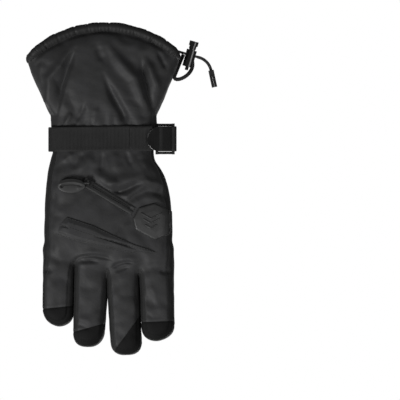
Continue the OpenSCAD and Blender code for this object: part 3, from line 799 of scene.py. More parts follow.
def make_materials():
    fabric("shell_fabric", grey(0.0205), grey(0.031, cool=0.05), 0.6, 1.0, 0.05, sheen=0.1, gloss=0.32)
    # The hem's cloth is the shell fabric in darker greys: painted shade for the rolled hem, whose top faces
    # away from the lamps
    fabric("hem_fabric", grey(0.012), grey(0.018), 0.6, 1.0, 0.05, sheen=0.06, gloss=0.3)
    fabric("side_fabric", grey(0.011), grey(0.016), 0.7, 1.1, 0.07, sheen=0.05, gloss=0.28)
    fabric("cap_fabric", grey(0.006), grey(0.010), 0.72, 1.1, 0.07, sheen=0.03, gloss=0.12)
    fabric("elastic", grey(0.014), grey(0.022), 0.7, 1.4, 0.12, crinkle=0.05)
    fabric("webbing", grey(0.009), grey(0.018), 0.65, 0.9, 0.1, sheen=0.06, crinkle=0.05, gloss=0.3)
    fabric("zip_tape", grey(0.012), grey(0.02), 0.6, 0.7, 0.06, crinkle=0.1)
    fabric("pocket_fabric", grey(0.05), grey(0.07), 0.65, 0.6, 0.04)
    fabric("hook_loop", grey(0.012), grey(0.022), 0.9, 0.8, 0.25, sheen=0.4, crinkle=0.1)
    fabric("cord", grey(0.009), grey(0.02), 0.6, 0.8, 0.12, sheen=0.2, crinkle=0.02, twill=1.0)
    fabric("thread", grey(0.022), grey(0.034), 0.6, 0.4, 0.04, crinkle=0.02, twill=1.0, gloss=0.3)
    fabric("membrane", grey(0.35, cool=0.06), grey(0.45, cool=0.06), 0.5, 0.5, 0.02)
    leather("palm_pu", grey(0.02, warm=0.03), grey(0.027, warm=0.04), 0.44)
    leather("grip_pu", grey(0.006), grey(0.009), 0.7, grain=1.4, depth=0.2)
    pile("thumb_fleece", grey(0.0035), grey(0.009), 0.7, 0.45, sheen=0.12)
    pile("lining", grey(0.04, cool=0.08), grey(0.075, cool=0.08), 1.2, 0.8, sheen=0.3)
    pile("insulation", grey(0.62), grey(0.78), 2.4, 1.2, sheen=0.2)
    moulded("badge_rubber", grey(0.022), grey(0.03), 0.5)
    moulded("zip_plastic", grey(0.012), grey(0.018), 0.4)
    moulded("gloss_black", grey(0.0025), grey(0.005), 0.2, coat=0.9, depth=0.01)
    moulded("satin_black", grey(0.012), grey(0.018), 0.34, coat=0.2, depth=0.02)
    moulded("spring_steel", grey(0.5), grey(0.62), 0.25, metallic=1.0)


make_materials()


# ---- hand and fingers ----

# Inset of the seams from the outline, and the height where the fingertips' own bodies start
SEAM_IN = 4.2
ZONE_Z = -131
# The seam of each fingertip's cap: its slope and height on the back, its height on the palm side
CAP_SLOPE = [0.1, 0.27, 1.25, 0.04]
CAP_RISE = [18, 18, 17.5, 18.5]
PALM_CAP = 10
# The seam over the heel of the palm (x, height), and the edge of the thumb's fleece (height, x)
HEEL_SEAM = [(-80, -70), (-46, -84), (-24, -96), (0, -105), (22, -108), (80, -108)]
FLEECE_EDGE = [(9, 7), (-10, 9), (-30, 17), (-60, 22), (-110, 27)]
RUFFLE_PITCH = 6.2


def finger_at(p, spread=False):
    """Which finger a place belongs to, by the middle of each gap."""
    x, z = p[:, 0], p[:, 2]
    order = np.zeros(len(p), int)
    for k in range(3):
        shifts = [finger_shift(n, z) if spread else 0 for n in (k, k + 1)]
        right = fingers[k].centre(z) + fingers[k].half(z) + shifts[0]
        left = fingers[k + 1].centre(z) - fingers[k + 1].half(z) + shifts[1]
        order += x > (left + right) / 2
    return order


def by_finger(p, values, spread=False):
    """values(finger, height) for the finger that each place belongs to."""
    return np.choose(finger_at(p, spread), [values(k, p[:, 2]) for k in range(4)])


def off_centre(p):
    """Distance across a finger from its middle."""
    return p[:, 0] - by_finger(p, lambda k, z: fingers[k].centre(z))


def seam_inset(p):
    """How far the seams lie inside the outline: close to it at the webs, further in elsewhere."""
    outer = smooth(np.abs(p[:, 0] - 4), 44, 54)
    down = smooth(-p[:, 2], 116, 150)
    return outer * (SEAM_IN - 0.6 * down) + (1 - outer) * (1.7 + 1.5 * down)


def seam_field(p):
    """Positive on the side walls of the box fingers, negative on the back and palm panels."""
    across = -off_centre(p) / by_finger(p, lambda k, z: fingers[k].half(z))
    lean = np.clip(across, -1, 1) * np.where(finger_at(p) == 0, -1, 1) * smooth(-p[:, 2], 112, 130)
    return outline_field(p) + seam_inset(p) + lean * np.where(p[:, 1] < 0, 1.5, -0.6)


def palm_cap_rise(off):
    """How far above a fingertip the seam of its palm side arches."""
    return PALM_CAP + 4 * (off / 14) ** 2


def cap_field(p):
    """Negative on the fingertip caps."""
    off, order = off_centre(p), finger_at(p)
    tip, slope, rise = (np.array(v)[order] for v in ([f.tip for f in fingers], CAP_SLOPE, CAP_RISE))
    back = p[:, 2] - (tip + rise + slope * off)
    palm = p[:, 2] - (tip + palm_cap_rise(off))
    share = smooth(p[:, 1], -4, 4)
    return back * (1 - share) + palm * share


def heel_field(p):
    """Positive on the heel of the palm, above the seam that crosses it."""
    return p[:, 2] - curve(p[:, 0], HEEL_SEAM) + 40 * smooth(-p[:, 1], -3, 6)


def fleece_field(p):
    """Positive on the fleece panel that runs from the thumb to the wrist."""
    return p[:, 0] - curve(p[:, 2], FLEECE_EDGE) - 60 * smooth(-p[:, 1], -3, 6)


# The zip's line in x and z, and the outline of the badge
ZIP_START = joint_of("zip_pull_swing")[0][[0, 2]]
ZIP_AHEAD = joint_of("zip_slide")[1][[0, 2]]
ZIP_LENGTH = 50
BADGE = [(25.7, -75.5), (27.9, -85.9), (46.9, -96), (60.1, -90.4),
         (61.7, -80.1), (61.4, -68.6), (46.4, -61.1), (31.4, -65.2)]


def zip_place(p):
    """Distance along the zip from its top end, and across it (positive below)."""
    x, z = p[:, 0] - ZIP_START[0], p[:, 2] - ZIP_START[1]
    return x * ZIP_AHEAD[0] + z * ZIP_AHEAD[1], x * ZIP_AHEAD[1] - z * ZIP_AHEAD[0]


def loose(p):
    """0 where the back is held flat by the zip and the badge, 1 elsewhere."""
    ahead, across = zip_place(p)
    off_end = np.maximum(np.maximum(-6 - ahead, ahead - ZIP_LENGTH), 0)
    near_zip = 1 - smooth(np.hypot(across, off_end), 4, 8)
    near_badge = smooth(inside_outline(p, BADGE), -4, 0)
    return 1 - np.maximum(near_zip, near_badge) * smooth(-p[:, 1], 0, 5)


def ruffle(p):
    """Gathers of a sewn-in elastic across the palm side of the wrist."""
    wobble = 1.6 * waves(p[:, [0, 2]], 16, 5)
    wave = np.sin(2 * np.pi * (p[:, 0] + wobble) / RUFFLE_PITCH)
    side = smooth(p[:, 1], 4, 13) * (1 - smooth(np.abs(p[:, 0] + 2), 34, 46))
    pinch = -1.1 * (bell(p[:, 2] - 5.5, 1.4) + bell(p[:, 2] + 5.5, 1.4))
    return side * (1.45 * wave * bell(p[:, 2], 11.25) + pinch)


def stitch_line(d, depth=0.6, lip=0.12):
    """Profile across a seam: a narrow groove between two soft lips."""
    return -depth * bell(d, 0.8) + lip * bell(np.abs(d) - 2.1, 1.1)


def hand_folds(p):
    back, palm = smooth(-p[:, 1], 2, 9), smooth(p[:, 1], 2, 9)
    height = back * folds(p, BACK_FOLDS) + palm * folds(p, PALM_FOLDS)
    covered = smooth(p[:, 0] - curve(p[:, 2], THUMB_LEFT), -4, 2) * palm * smooth(p[:, 2], -150, -140)
    return height * loose(p) * (1 - covered)


def hand_held(p):
    """Where the padded hand can't swell: seams, zip and badge, under the thumb, and the wrist."""
    return np.maximum.reduce([
        0.95 * smooth(seam_field(p), -2.5, -0.5),
        0.95 * (1 - loose(p)),
        0.95 * smooth(p[:, 0] - curve(p[:, 2], THUMB_LEFT), -3, 3) * (p[:, 1] > 2),
        smooth(p[:, 2], -14, -8),
        0.7 * bell(cap_field(p), 1.8),
        0.5 * bell(heel_field(p), 2.0) * (p[:, 1] > 4),
    ])


def hand_surface(inset, cell, rounds):
    """The plain hand, or a layer inside it. It is made with its fingers apart, which then close
    and lean a little, so that neighbours lap like shingles."""
    low = [HAND_LOW[0] - 9, -22, min(f.tip for f in fingers) - 3]
    high = [HAND_HIGH[0] + 9, 22, HAND_TOP + 9]
    skin = skin_of(lambda x, y, z: glove_field(x, y, z) + inset, low, high, cell)
    skin.relax(rounds)
    skin.now[:, 0] -= by_finger(skin.now, finger_shift, spread=True)
    skin.rest = skin.now.copy()
    skin.now[:, 0] += SHINGLE * skin.now[:, 1] * smooth(-skin.rest[:, 2], 108, 124)
    return skin


def make_hand_skin():
    skin = hand_surface(0, detail(2.2, 1.3), 2)
    p = skin.rest
    uneven = 0.35 * waves(p, 19, 1) * smooth(-p[:, 2], 14, 26) + 0.16 * waves(p, 8, 2)
    skin.push(hand_folds(p) + uneven * loose(p))
    swell(skin, hand_held, pressure=3.5, growth=0.02, cap=2.4, voxel=4.2)
    skin.push(ruffle(p))
    return skin


def sew_hand(skin):
    """Cuts the hand's seams into its skin and presses their grooves."""
    for offset in (-1.9, -0.8, 0.0, 0.8):
        skin.cut(seam_field(skin.rest) - offset)
    for offset in (-0.8, 0.0, 0.8):
        skin.cut(cap_field(skin.rest) - offset)
        skin.cut(heel_field(skin.rest) - offset)
    skin.cut(fleece_field(skin.rest))
    skin.cut(skin.rest[:, 2] - ZONE_Z)
    skin.cut(skin.rest[:, 2] - HAND_TOP)
    p = skin.rest
    seam, cap = seam_field(p), cap_field(p)
    palm = (p[:, 1] > 3) & (seam < 0)
    height = stitch_line(seam) * (seam < 4) + stitch_line(cap, 0.5, 0.1)
    height += stitch_line(off_centre(p)) * smooth(p[:, 1], 0, 4) * smooth(-cap, 0, 1.5)
    height += stitch_line(heel_field(p)) * palm
    height += stitch_line(fleece_field(p)) * palm * smooth(p[:, 2], -110, -96)
    skin.push(height)
    return skin


def bend_of(f):
    """The bodies above and below the knuckle, the hand and the fingertip, and two places across it, for a
    finger piece; pieces are not bent by them.
    """
    centre = f.centre(f.bend)
    return ("hand", f"{f.name}_tip", (centre, 0, f.bend + 12), (centre, 0, f.bend - 12))


def make_hand_pieces(skin):
    middle = skin.middles()
    seam, cap = seam_field(middle), cap_field(middle)
    heel, fleece = heel_field(middle), fleece_field(middle)
    keep = middle[:, 2] < HAND_TOP
    hand = keep & (middle[:, 2] > ZONE_Z)
    side, back = seam > 0, middle[:, 1] < 0
    palm = hand & ~side & ~back
    for name, slot, stands_for, chosen in (
        ("back_panel", "shell_fabric", "back_shell", hand & ~side & back),
        ("side_panel", "side_fabric", "finger_sidewalls", hand & side),
        ("palm_grip_panel", "palm_pu", "palm_panel", palm & (heel < 0)),
        ("palm_heel", "palm_pu", "palm_heel_panel", palm & (heel > 0) & (fleece < 0)),
        ("thumb_root_fleece", "thumb_fleece", None, palm & (heel > 0) & (fleece > 0)),
    ):
        cloth_piece(name, skin, slot, "hand", stands_for, chosen)
    order = finger_at(middle)
    picks = np.where(side, 1, np.where(back, 0, 2))
    cap_picks = np.where(back | side, 0, 1)
    for k, f in enumerate(fingers):
        mine = keep & (middle[:, 2] < ZONE_Z) & (order == k)
        cloth_piece(f"{f.name}_finger", skin, ["shell_fabric", "side_fabric", "palm_pu"], bend_of(f),
                    f"{f.name}_tip_shell", mine & (cap > 0), picks=picks)
        cloth_piece(f"{f.name}_cap", skin, ["cap_fabric", "palm_pu"], bend_of(f), None, mine & (cap < 0),
                    picks=cap_picks)


def overlay(name, skin, field, profile, slot, rides, stands_for=None, back=True, depth=0.9, shown=None):
    """A piece sewn on a skin where field(points) > 0, standing out by profile: rows of (inset, lift).
    Where shown(points) falls to 0 the piece sinks away under the skin."""
    side = -1 if back else 1
    part, _ = skin.part(skin.middles()[:, 1] * side > 3)
    for inset, _ in profile:
        part.cut(field(part.rest) - inset, near=0.08)
    lift = np.interp(field(part.rest), *np.array(profile).T)
    if shown is not None:
        lift = lift * shown(part.rest) - 0.7 * (1 - shown(part.rest))
    chosen = field(part.middles()) > profile[0][0]
    cloth_piece(name, part, slot, rides, stands_for, chosen, depth, lift=lift)


# ---- thumb ----

# The bodies and places the thumb's pieces lie between, which do not bend them, and the folds across its back
THUMB_SWING = ("hand", "thumb", (40, THUMB_Y, -10), (40, THUMB_Y, -46))
THUMB_FOLDS = [
    ([(27, -62), (36, -58), (50, -58), (60, -62)], -1.1, 3.0),
    ([(26, -92), (40, -96), (60, -92)], -0.9, 3.2),
    ([(30, -112), (42, -114), (56, -110)], -0.6, 2.6),
    ([(30, -30), (40, -36), (54, -34)], -0.8, 3.0),
]


def thumb_folds(p):
    return smooth(p[:, 1], THUMB_Y + 2, THUMB_Y + 9) * folds(p, THUMB_FOLDS)


def thumb_edge(p):
    """Positive on the fleece back of the thumb."""
    above = p[:, 1] - (THUMB_Y - 5 - 16 * smooth(p[:, 2], -50, -20))
    return np.minimum(above, p[:, 0] - curve(p[:, 2], THUMB_FLEECE))


def thumb_held(p):
    """Where the padded thumb can't swell: its seam, the palm side and its root."""
    edge = thumb_edge(p)
    return np.maximum.reduce([0.9 * bell(edge, 1.8), 0.9 * (edge < -3), smooth(p[:, 2], -50, -20)])


def thumb_surface(inset, cell, rounds):
    """The plain thumb, or a layer inside it."""
    skin = skin_of(lambda x, y, z: thumb_field(x, y, z) + inset, *THUMB_ROOM, cell)
    skin.relax(rounds)
    skin.rest = skin.now.copy()
    return skin


def make_thumb():
    skin = thumb_surface(0, detail(2.0, 1.25), 2)
    p = skin.rest
    skin.push(thumb_folds(p) + 0.45 * waves(p, 17, 3) + 0.15 * waves(p, 7, 4))
    swell(skin, thumb_held, pressure=3, growth=0.02, cap=1.6, voxel=4.0)
    for offset in (-0.8, 0.0, 0.8):
        skin.cut(thumb_edge(skin.rest) - offset)
    skin.push(stitch_line(thumb_edge(skin.rest), 0.9, 0.4))
    edge = thumb_edge(skin.middles())
    cloth_piece("thumb_back", skin, "thumb_fleece", THUMB_SWING, "thumb_back_panel", edge > 0)
    cloth_piece("thumb_front", skin, "palm_pu", THUMB_SWING, "thumb_palm_panel", edge < 0)


# ---- cuff ----

# The hem is an arch round this centre in the XZ plane
HEM_CENTRE = (-1.0, 2.3)
HEM_R = 104.5
CUFF_THICK = [(4, 16.4), (8, 17.7), (12, 18.4), (21, 19.4), (45, 19.3), (80, 17.6), (110, 17)]
BACK_FOLD_GAIN = 1.35
WRIST_BEND = ("hand", "gauntlet", (0, 0, 10), (0, 0, 34))


def loop_points(count):
    """Even steps round a flat loop: where on its flats (-1 to 1) and the angle on its round ends."""
    flat, turn = 56.0, 17.5
    at = (np.arange(count) + 0.5) / count * (4 * flat + 2 * np.pi * turn)
    first, second, third = 2 * flat, 2 * flat + np.pi * turn, 4 * flat + np.pi * turn
    share = np.interp(at, [0, first, second, third], [-1, 1, 1, -1])
    angle = np.interp(at, [first, second], [-np.pi / 2, np.pi / 2]) + np.maximum(at - third, 0) / turn
    return share, angle


def cuff_size(z):
    """Centre, half width and half thickness of the cuff, which widens evenly above the wrist."""
    rise = (z - 22) / 94
    half = np.where(rise > 0, 50.5 + 41.1 * rise, 50.2 + 0.3 * smooth(z, 8, 22))
    return -2 - 1.8 * rise, half, curve(z, CUFF_THICK)


def cuff_point(share, angle, z, inset):
    """x and y of a place on the cuff, inset from its surface."""
    centre, half, thick = cuff_size(z)
    x = centre + share * (half - thick) + (thick - inset) * np.cos(angle)
    y = (thick - inset) * np.sin(angle) * (1 - 0.05 * share**2)
    return x, y


def cuff_top(share, angle, radius, inset=0.0):
    """Height at which each column of the cuff meets the arched hem."""
    z = np.full(share.shape, 90.0)
    for _ in range(40):
        x, _ = cuff_point(share, angle, z, inset)
        z = 0.5 * z + 0.5 * (HEM_CENTRE[1] + np.sqrt(radius**2 - (x - HEM_CENTRE[0]) ** 2))
    return z


def cuff_skin(columns, rows, inset=0.0, foot=4, radius=HEM_R - 4.2):
    """The plain cuff from its foot at the wrist up to an arch under the hem."""
    share, angle = loop_points(columns)
    top = cuff_top(share, angle, radius, inset)
    z = foot + (top - foot) * np.linspace(0, 1, rows)[:, None]
    x, y = cuff_point(share, angle, z, inset)
    return Skin(np.stack([x, y, z], -1).reshape(-1, 3), grid(rows, columns))


def hem_reach(p):
    """Distance from the centre of the hem's arch."""
    return np.hypot(p[:, 0] - HEM_CENTRE[0], p[:, 2] - HEM_CENTRE[1])


def cuff_side(p, start, end):
    """0 on the flat back and palm of the cuff, 1 round its sides."""
    centre, half, thick = cuff_size(p[:, 2])
    return smooth(np.abs(p[:, 0] - centre) - (half - thick), start, end)


def shape_cuff(skin, tuck=1.0):
    """Folds, gathers and, by tuck, the groove where the cuff runs in under its rolled hem."""
    p = skin.rest
    back, palm = smooth(-p[:, 1], 2, 10), smooth(p[:, 1], 2, 10)
    fade = smooth(p[:, 2], 7, 15)
    height = BACK_FOLD_GAIN * back * folds(p, CUFF_BACK_FOLDS) * fade
    height += palm * folds(p, CUFF_PALM_FOLDS) * fade
    under = hem_reach(p) - (HEM_R - 4.8)
    height -= tuck * (2.0 * bell(under, 9) + 1.4 * bell(under, 2.6)) * (1 - 0.85 * cuff_side(p, 2, 14))
    gather = np.sin(2 * np.pi * (p[:, 0] + 2.2 * waves(p, 20, 6)) / 9.5)
    height += (0.8 * palm + 0.35 * back) * gather * bell(p[:, 2] - 14, 11) * fade
    height += (0.5 * waves(p, 24, 7) + 0.2 * waves(p, 9, 8)) * fade
    skin.push(height + ruffle(p))


def cuff_held(p):
    """Where the padded cuff can't swell: its foot, its hem and its sides."""
    foot, hem = smooth(-p[:, 2], -15, -10), smooth(hem_reach(p), HEM_R - 7, HEM_R - 3.5)
    return np.maximum.reduce([foot, hem, 0.97 * cuff_side(p, 0, 12)])


def make_cuff():
    """Cover, lining and wadding. The cover's cloth simulation starts from a coarser cuff."""
    skin = cuff_skin(*detail((180, 46), (330, 84)))
    coarse = cuff_skin(104, 26)
    for layer in (skin, coarse):
        shape_cuff(layer)
    swell(skin, cuff_held, pressure=2.5, growth=0.03, cap=4.5, voxel=4.5, stiff=2.0,
          coarse=(coarse.now, coarse.tris.tolist()))
    cloth_piece("cuff_cover", skin, "shell_fabric", WRIST_BEND, "gauntlet_shell")
    lining = cuff_skin(150, 36, inset=5.4, foot=6, radius=HEM_R - 1)
    shape_cuff(lining, tuck=0.0)
    p = lining.rest
    flare = 1.8 * smooth(hem_reach(p), HEM_R - 9, HEM_R - 4)
    lining.push(0.4 * waves(p, 14, 9) + 0.25 * waves(p, 6, 10) + flare)
    cloth_piece("cuff_fleece_lining", lining, "lining", WRIST_BEND, "gauntlet_lining", depth=0.9)
    wadding = cuff_skin(200, 44, inset=3.9, foot=9, radius=HEM_R - 16)
    shape_cuff(wadding)
    cloth_piece("cuff_wadding", wadding, "insulation", WRIST_BEND, "gauntlet_insulation", depth=0.8)


def make_hem():
    """Rolled hem: a tube round the cuff's mouth, puckered where the drawcord gathers it."""
    count, around = detail((360, 14), (900, 20))
    share, angle = loop_points(count)
    top = cuff_top(share, angle, HEM_R - 0.3)
    x, y = cuff_point(share, angle, top, inset=1.5 + 3.0 * np.cos(angle) ** 2)
    spine = np.stack([x, y, top], 1)
    along = unit(np.roll(spine, -1, 0) - np.roll(spine, 1, 0))
    up = np.stack([x - HEM_CENTRE[0], 0 * x, top - HEM_CENTRE[1]], 1)
    up = unit(up - along * (up * along).sum(1, keepdims=True))
    out = np.cross(along, up)
    turn = round_steps(count)
    rng = np.random.default_rng(11)
    fast_waves, slow_waves = (61, 83, 97, 118), (7, 12, 19)
    pucker = sum(rng.uniform(0.5, 1) * np.sin(n * turn + rng.uniform(0, 6.3)) for n in fast_waves) / 2.4
    slow = sum(np.sin(n * turn + rng.uniform(0, 6.3)) for n in slow_waves) / 3
    pinch = bell(np.sin(16 * turn + 1.1 * np.sin(5 * turn + 1)), 0.22)
    rings = []
    for a in round_steps(around):
        lower = max(0.0, -math.sin(a))
        tall = 4.4 + 0.3 * pucker * (0.4 + lower) + 0.5 * slow - 0.75 * pinch
        wide = 3.7 + 0.35 * pucker * (0.3 + lower) + 0.3 * slow - 0.5 * pinch
        sag = 0.9 * bell(math.sin(a) + 0.75, 0.35)
        rings.append(spine + up * (tall * math.sin(a))[:, None] + out * ((wide - sag) * math.cos(a))[:, None])
    points = np.stack(rings, 1).reshape(-1, 3)
    # Its darker cloth is painted shade, not a different fabric
    piece("hem_roll", points, grid(count, around, ring=True), "hem_fabric", "gauntlet", "hem_tunnel")


# ---- pieces sewn or moulded on the skin ----

# The knuckle band: its outline, and the lines of stitches in its middle and along its edges
KNUCKLE = [(-51.5, -88.7), (-36.5, -73.8), (-12.4, -81.7), (8.4, -91.6), (26.8, -99.7),
           (49, -107.6), (36, -107.6), (19.9, -107.6), (-3.1, -103.2), (-26.1, -97.4)]
KNUCKLE_MIDDLE = [(-44, -81.2), (-16.9, -90.4), (8.4, -97.4), (27.9, -103.4), (42.5, -107.2)]
KNUCKLE_LOW = [(-50, -89.6), (-26.1, -96.2), (-3.1, -102), (19.9, -106.4), (34, -106.9)]
KNUCKLE_HIGH = [(-36.2, -75.2), (-12.4, -83), (8.4, -92.9), (26.8, -100.9), (44, -106.4)]
CHEVRONS_AT = (42.5, -70.5)
CHEVRON_STEP = 5.5


def make_knuckle_band():
    """Padded double band across the knuckles, with a stitched line between its two rolls."""
    def field(p):
        groove = 4.5 * bell(path_distance(p, KNUCKLE_MIDDLE)[0], 1.1)
        inset = inside_outline(p, KNUCKLE)
        return np.where(inset > 0.9, np.maximum(inset - groove, 0.9), inset)

    profile = [(0, 0.15), (0.45, 1.0), (1.2, 1.3), (4.5, 2.9)]
    overlay("knuckle_panel", hand_skin, field, profile, "shell_fabric", "hand", "knuckle_band",
            shown=lambda p: smooth(p[:, 0], -50, -34))


def make_badge():
    """Raised moulded plate with three nested chevrons."""
    def plate(p):
        return inside_outline(p, BADGE)

    def chevrons(p):
        best = np.full(len(p), -9.0)
        for k in range(3):
            x, z = CHEVRONS_AT[0], CHEVRONS_AT[1] - CHEVRON_STEP * k
            half, rise = 9 - 2 * k, 5 - k
            arms = [(x - half, z), (x, z - rise), (x + half, z)]
            best = np.maximum(best, 0.8 - path_distance(p, arms)[0])
        return best

    profile = [(0, 0.1), (0.3, 1.7), (1.3, 2.3), (1.5, 2.35), (7, 3.0)]
    overlay("badge_plate", hand_skin, plate, profile, "badge_rubber", "hand", "badge", depth=1.4)
    profile = [(0, 2.5), (0.2, 3.5), (0.8, 3.8)]
    overlay("badge_chevrons", hand_skin, chevrons, profile, "badge_rubber", "hand", depth=0.8)


def make_zip():
    """Two rolled lips of cloth on either side of the teeth."""
    def lips(p):
        ahead, across = zip_place(p)
        ends = np.minimum(ahead + 4, ZIP_LENGTH + 1 - ahead)
        lower = np.minimum(across - 0.75, 4.9 - across)
        upper = np.minimum(-across - 0.75, 3.6 + across)
        return np.minimum(np.maximum(lower, upper), ends)

    profile = [(0, 0.1), (0.3, 0.7), (1.0, 1.15), (2.0, 1.3)]
    overlay("zip_lips", hand_skin, lips, profile, "zip_tape", "hand", "zip_tape")


def make_grip_patches():
    """Hard-wearing patch on the palm side of each fingertip."""
    for k, f in enumerate(fingers):
        def field(p, k=k, f=f):
            inset = -SEAM_IN - 1.0 - outline_field(p)
            low = f.tip + 1.2 + palm_cap_rise(p[:, 0] - f.centre(p[:, 2]))
            patch = np.minimum.reduce([inset, f.tip + 35 - p[:, 2], p[:, 2] - low])
            return np.where(finger_at(p) == k, patch, -9)

        overlay(f"{f.name}_grip", hand_skin, field, [(0, 0.05), (0.5, 0.5), (2, 0.6)], "grip_pu", bend_of(f),
                f"{f.name}_tip_patch", back=False)


# ---- thumb gusset ----


def make_gusset():
    """Sleeve of fleece between the palm and the thumb, gathered round its ends."""
    x, _, z = joint_of("thumb_swing")[0]
    low, high = box_of("thumb_gusset")
    rows, turn = 9, round_steps(72)
    rings = []
    for t in np.linspace(0, 1, rows):
        radius = 13.7 + 1.0 * (2 * t - 1) ** 2 + 0.35 * np.sin(9 * turn + 2 * t) + 0.2 * np.sin(16 * turn + 1)
        y = np.full(len(turn), low[1] + 1.5 + (high[1] - low[1] - 1) * t)
        rings.append(np.stack([x + radius * np.cos(turn), y, z + radius * np.sin(turn)], 1))
    skin = Skin(np.vstack(rings), grid(rows, len(turn))[:, ::-1])
    bend = ("hand", "thumb", (x, low[1] + 2, z), (x, high[1] - 2, z))
    cloth_piece("thumb_sleeve", skin, "thumb_fleece", bend, "thumb_gusset")


# ---- layers inside ----


def hand_layer(name, inset, depth, slot, with_tips=True):
    """A layer inside the hand and its fingers, one piece in the hand and one in each finger."""
    skin = hand_surface(inset, detail(3.4, 2.6), 1)
    p = skin.rest
    skin.push(np.minimum(hand_folds(p), 0) * 1.1 + np.minimum(ruffle(p), 0))
    skin.cut(skin.rest[:, 2] - ZONE_Z, near=0.4)
    skin.cut(skin.rest[:, 2] - HAND_TOP, near=0.4)
    middle = skin.middles()
    in_hand = (middle[:, 2] > ZONE_Z) & (middle[:, 2] < HAND_TOP)
    cloth_piece(f"hand_{name}", skin, slot, "hand", f"hand_{slot}", in_hand, depth)
    for k, f in enumerate(fingers if with_tips else []):
        mine = (middle[:, 2] < ZONE_Z) & (finger_at(middle) == k)
        cloth_piece(f"{f.name}_{name}", skin, slot, bend_of(f), f"{f.name}_tip_{slot}", mine, depth)


def thumb_layer(name, inset, depth, slot):
    skin = thumb_surface(inset, 2.6, 1)
    skin.push(np.minimum(thumb_folds(skin.rest), 0))
    cloth_piece(f"thumb_{name}", skin, slot, THUMB_SWING, f"thumb_{slot}", depth=depth)


def make_layers():
    hand_layer("barrier", 1.7, 0.3, "membrane", with_tips=False)
    hand_layer("padding", 2.6, 2.4, "insulation")
    hand_layer("fleece", 5.6, 1.2, "lining")
    thumb_layer("padding", 2.0, 2.4, "insulation")
    thumb_layer("fleece", 5.0, 1.2, "lining")


POCKET_ROOM = np.array([1, 0.3, 1])


def make_pocket():
    """The bag behind the zip: a soft closed form rounded at its rim."""
    low, high = box_of("pocket_bag")
    low, high = low + POCKET_ROOM, high - POCKET_ROOM
    rows, turn = 20, round_steps(48)
    x, z = (np.sign(v) * np.abs(v) ** 0.5 for v in (np.cos(turn), np.sin(turn)))
    rings = [[[0, -1, 0]]]
    for t in np.linspace(-1, 1, rows + 2)[1:-1] * np.pi / 2:
        rim = np.cos(t) ** 0.5
        rings.append(np.stack([x * rim, np.full(len(turn), np.sin(t)), z * rim], 1))
    points = (low + high) / 2 + (high - low) / 2 * np.vstack(rings + [[[0, 1, 0]]])
    tris = closed_grid(rows, len(turn))[:, ::-1]
    piece("zip_pocket", points, tris, "pocket_fabric", "hand", "pocket_bag")


# ---- webbing ----


def evenly(path, step):
    """Even steps along a path, and the length to each."""
    path = np.asarray(path, float)
    length = np.concatenate([[0], np.cumsum(np.linalg.norm(np.diff(path, axis=0), axis=1))])
    at = np.linspace(0, length[-1], max(3, int(length[-1] / step) + 1))
    return np.stack([np.interp(at, length, path[:, k]) for k in range(path.shape[1])], 1), at


def arc(centre, radius, start, end, steps):
    turn = np.radians(np.linspace(start, end, steps + 1))
    return [(centre[0] + radius * math.cos(t), centre[1] + radius * math.sin(t)) for t in turn]


# Where webbing has points across its width, and the round of the wrist that the ring's loop follows
ACROSS = np.array([0, 0.02, 0.06, 0.1, 0.3, 0.5, 0.7, 0.9, 0.94, 0.98, 1])
ANCHOR_X, ANCHOR_R = 29.6, 19.2


def ribbon(name, node, path, thick, slot, rides, below=0.0, above=0.0, pitch=1.3, rib=0.17, lift=0.0,
           corner=0.0):
    """Ribbed webbing along a path in x and y, as high as its CAD node and further by below and
    above. lift raises it from the path's start to its end, and corner rounds its lower corner."""
    spine, at = evenly(path, pitch / 5)
    ahead = unit(np.gradient(spine, axis=0))
    low, high = (corner_at[2] for corner_at in box_of(node))
    rise = lift * (at / at[-1] - 0.5)
    sunk = corner - np.sqrt(np.maximum(corner**2 - np.maximum(corner - at, 0) ** 2, 0))
    bottom, top = low - below + sunk + rise, high + above + rise
    wave = rib * np.cos(2 * np.pi * at / pitch)
    columns = []
    for side in (1, -1):
        for w in ACROSS[::side]:
            edge = min(w, 1 - w)
            half = thick / 2 * (0.55 + 0.45 * min(edge / 0.03, 1)) + 0.12 * (edge < 0.08)
            out = side * (half + wave * (0.35 if edge < 0.08 else 1.0))
            x, y = spine[:, 0] + ahead[:, 1] * out, spine[:, 1] - ahead[:, 0] * out
            columns.append(np.stack([x, y, bottom + (top - bottom) * w], 1))
    points = np.stack(columns, 1)
    rows, around = points.shape[:2]
    k = np.arange(around // 2 - 1)
    a, b, c, d = k, k + 1, around - 1 - k, around - 2 - k
    start = np.vstack([np.stack([a, c, b], 1), np.stack([b, c, d], 1)])
    tris = np.vstack([grid(rows, around), start, start[:, ::-1] + (rows - 1) * around])
    piece(name, points.reshape(-1, 3), tris, slot, rides, node, sharp=60)


def straight(node, more=0.0):
    """A straight path through the middle of a CAD node, longer at its start."""
    low, high = box_of(node)
    y = (low[1] + high[1]) / 2
    return [(low[0] - more, y), (high[0], y)]


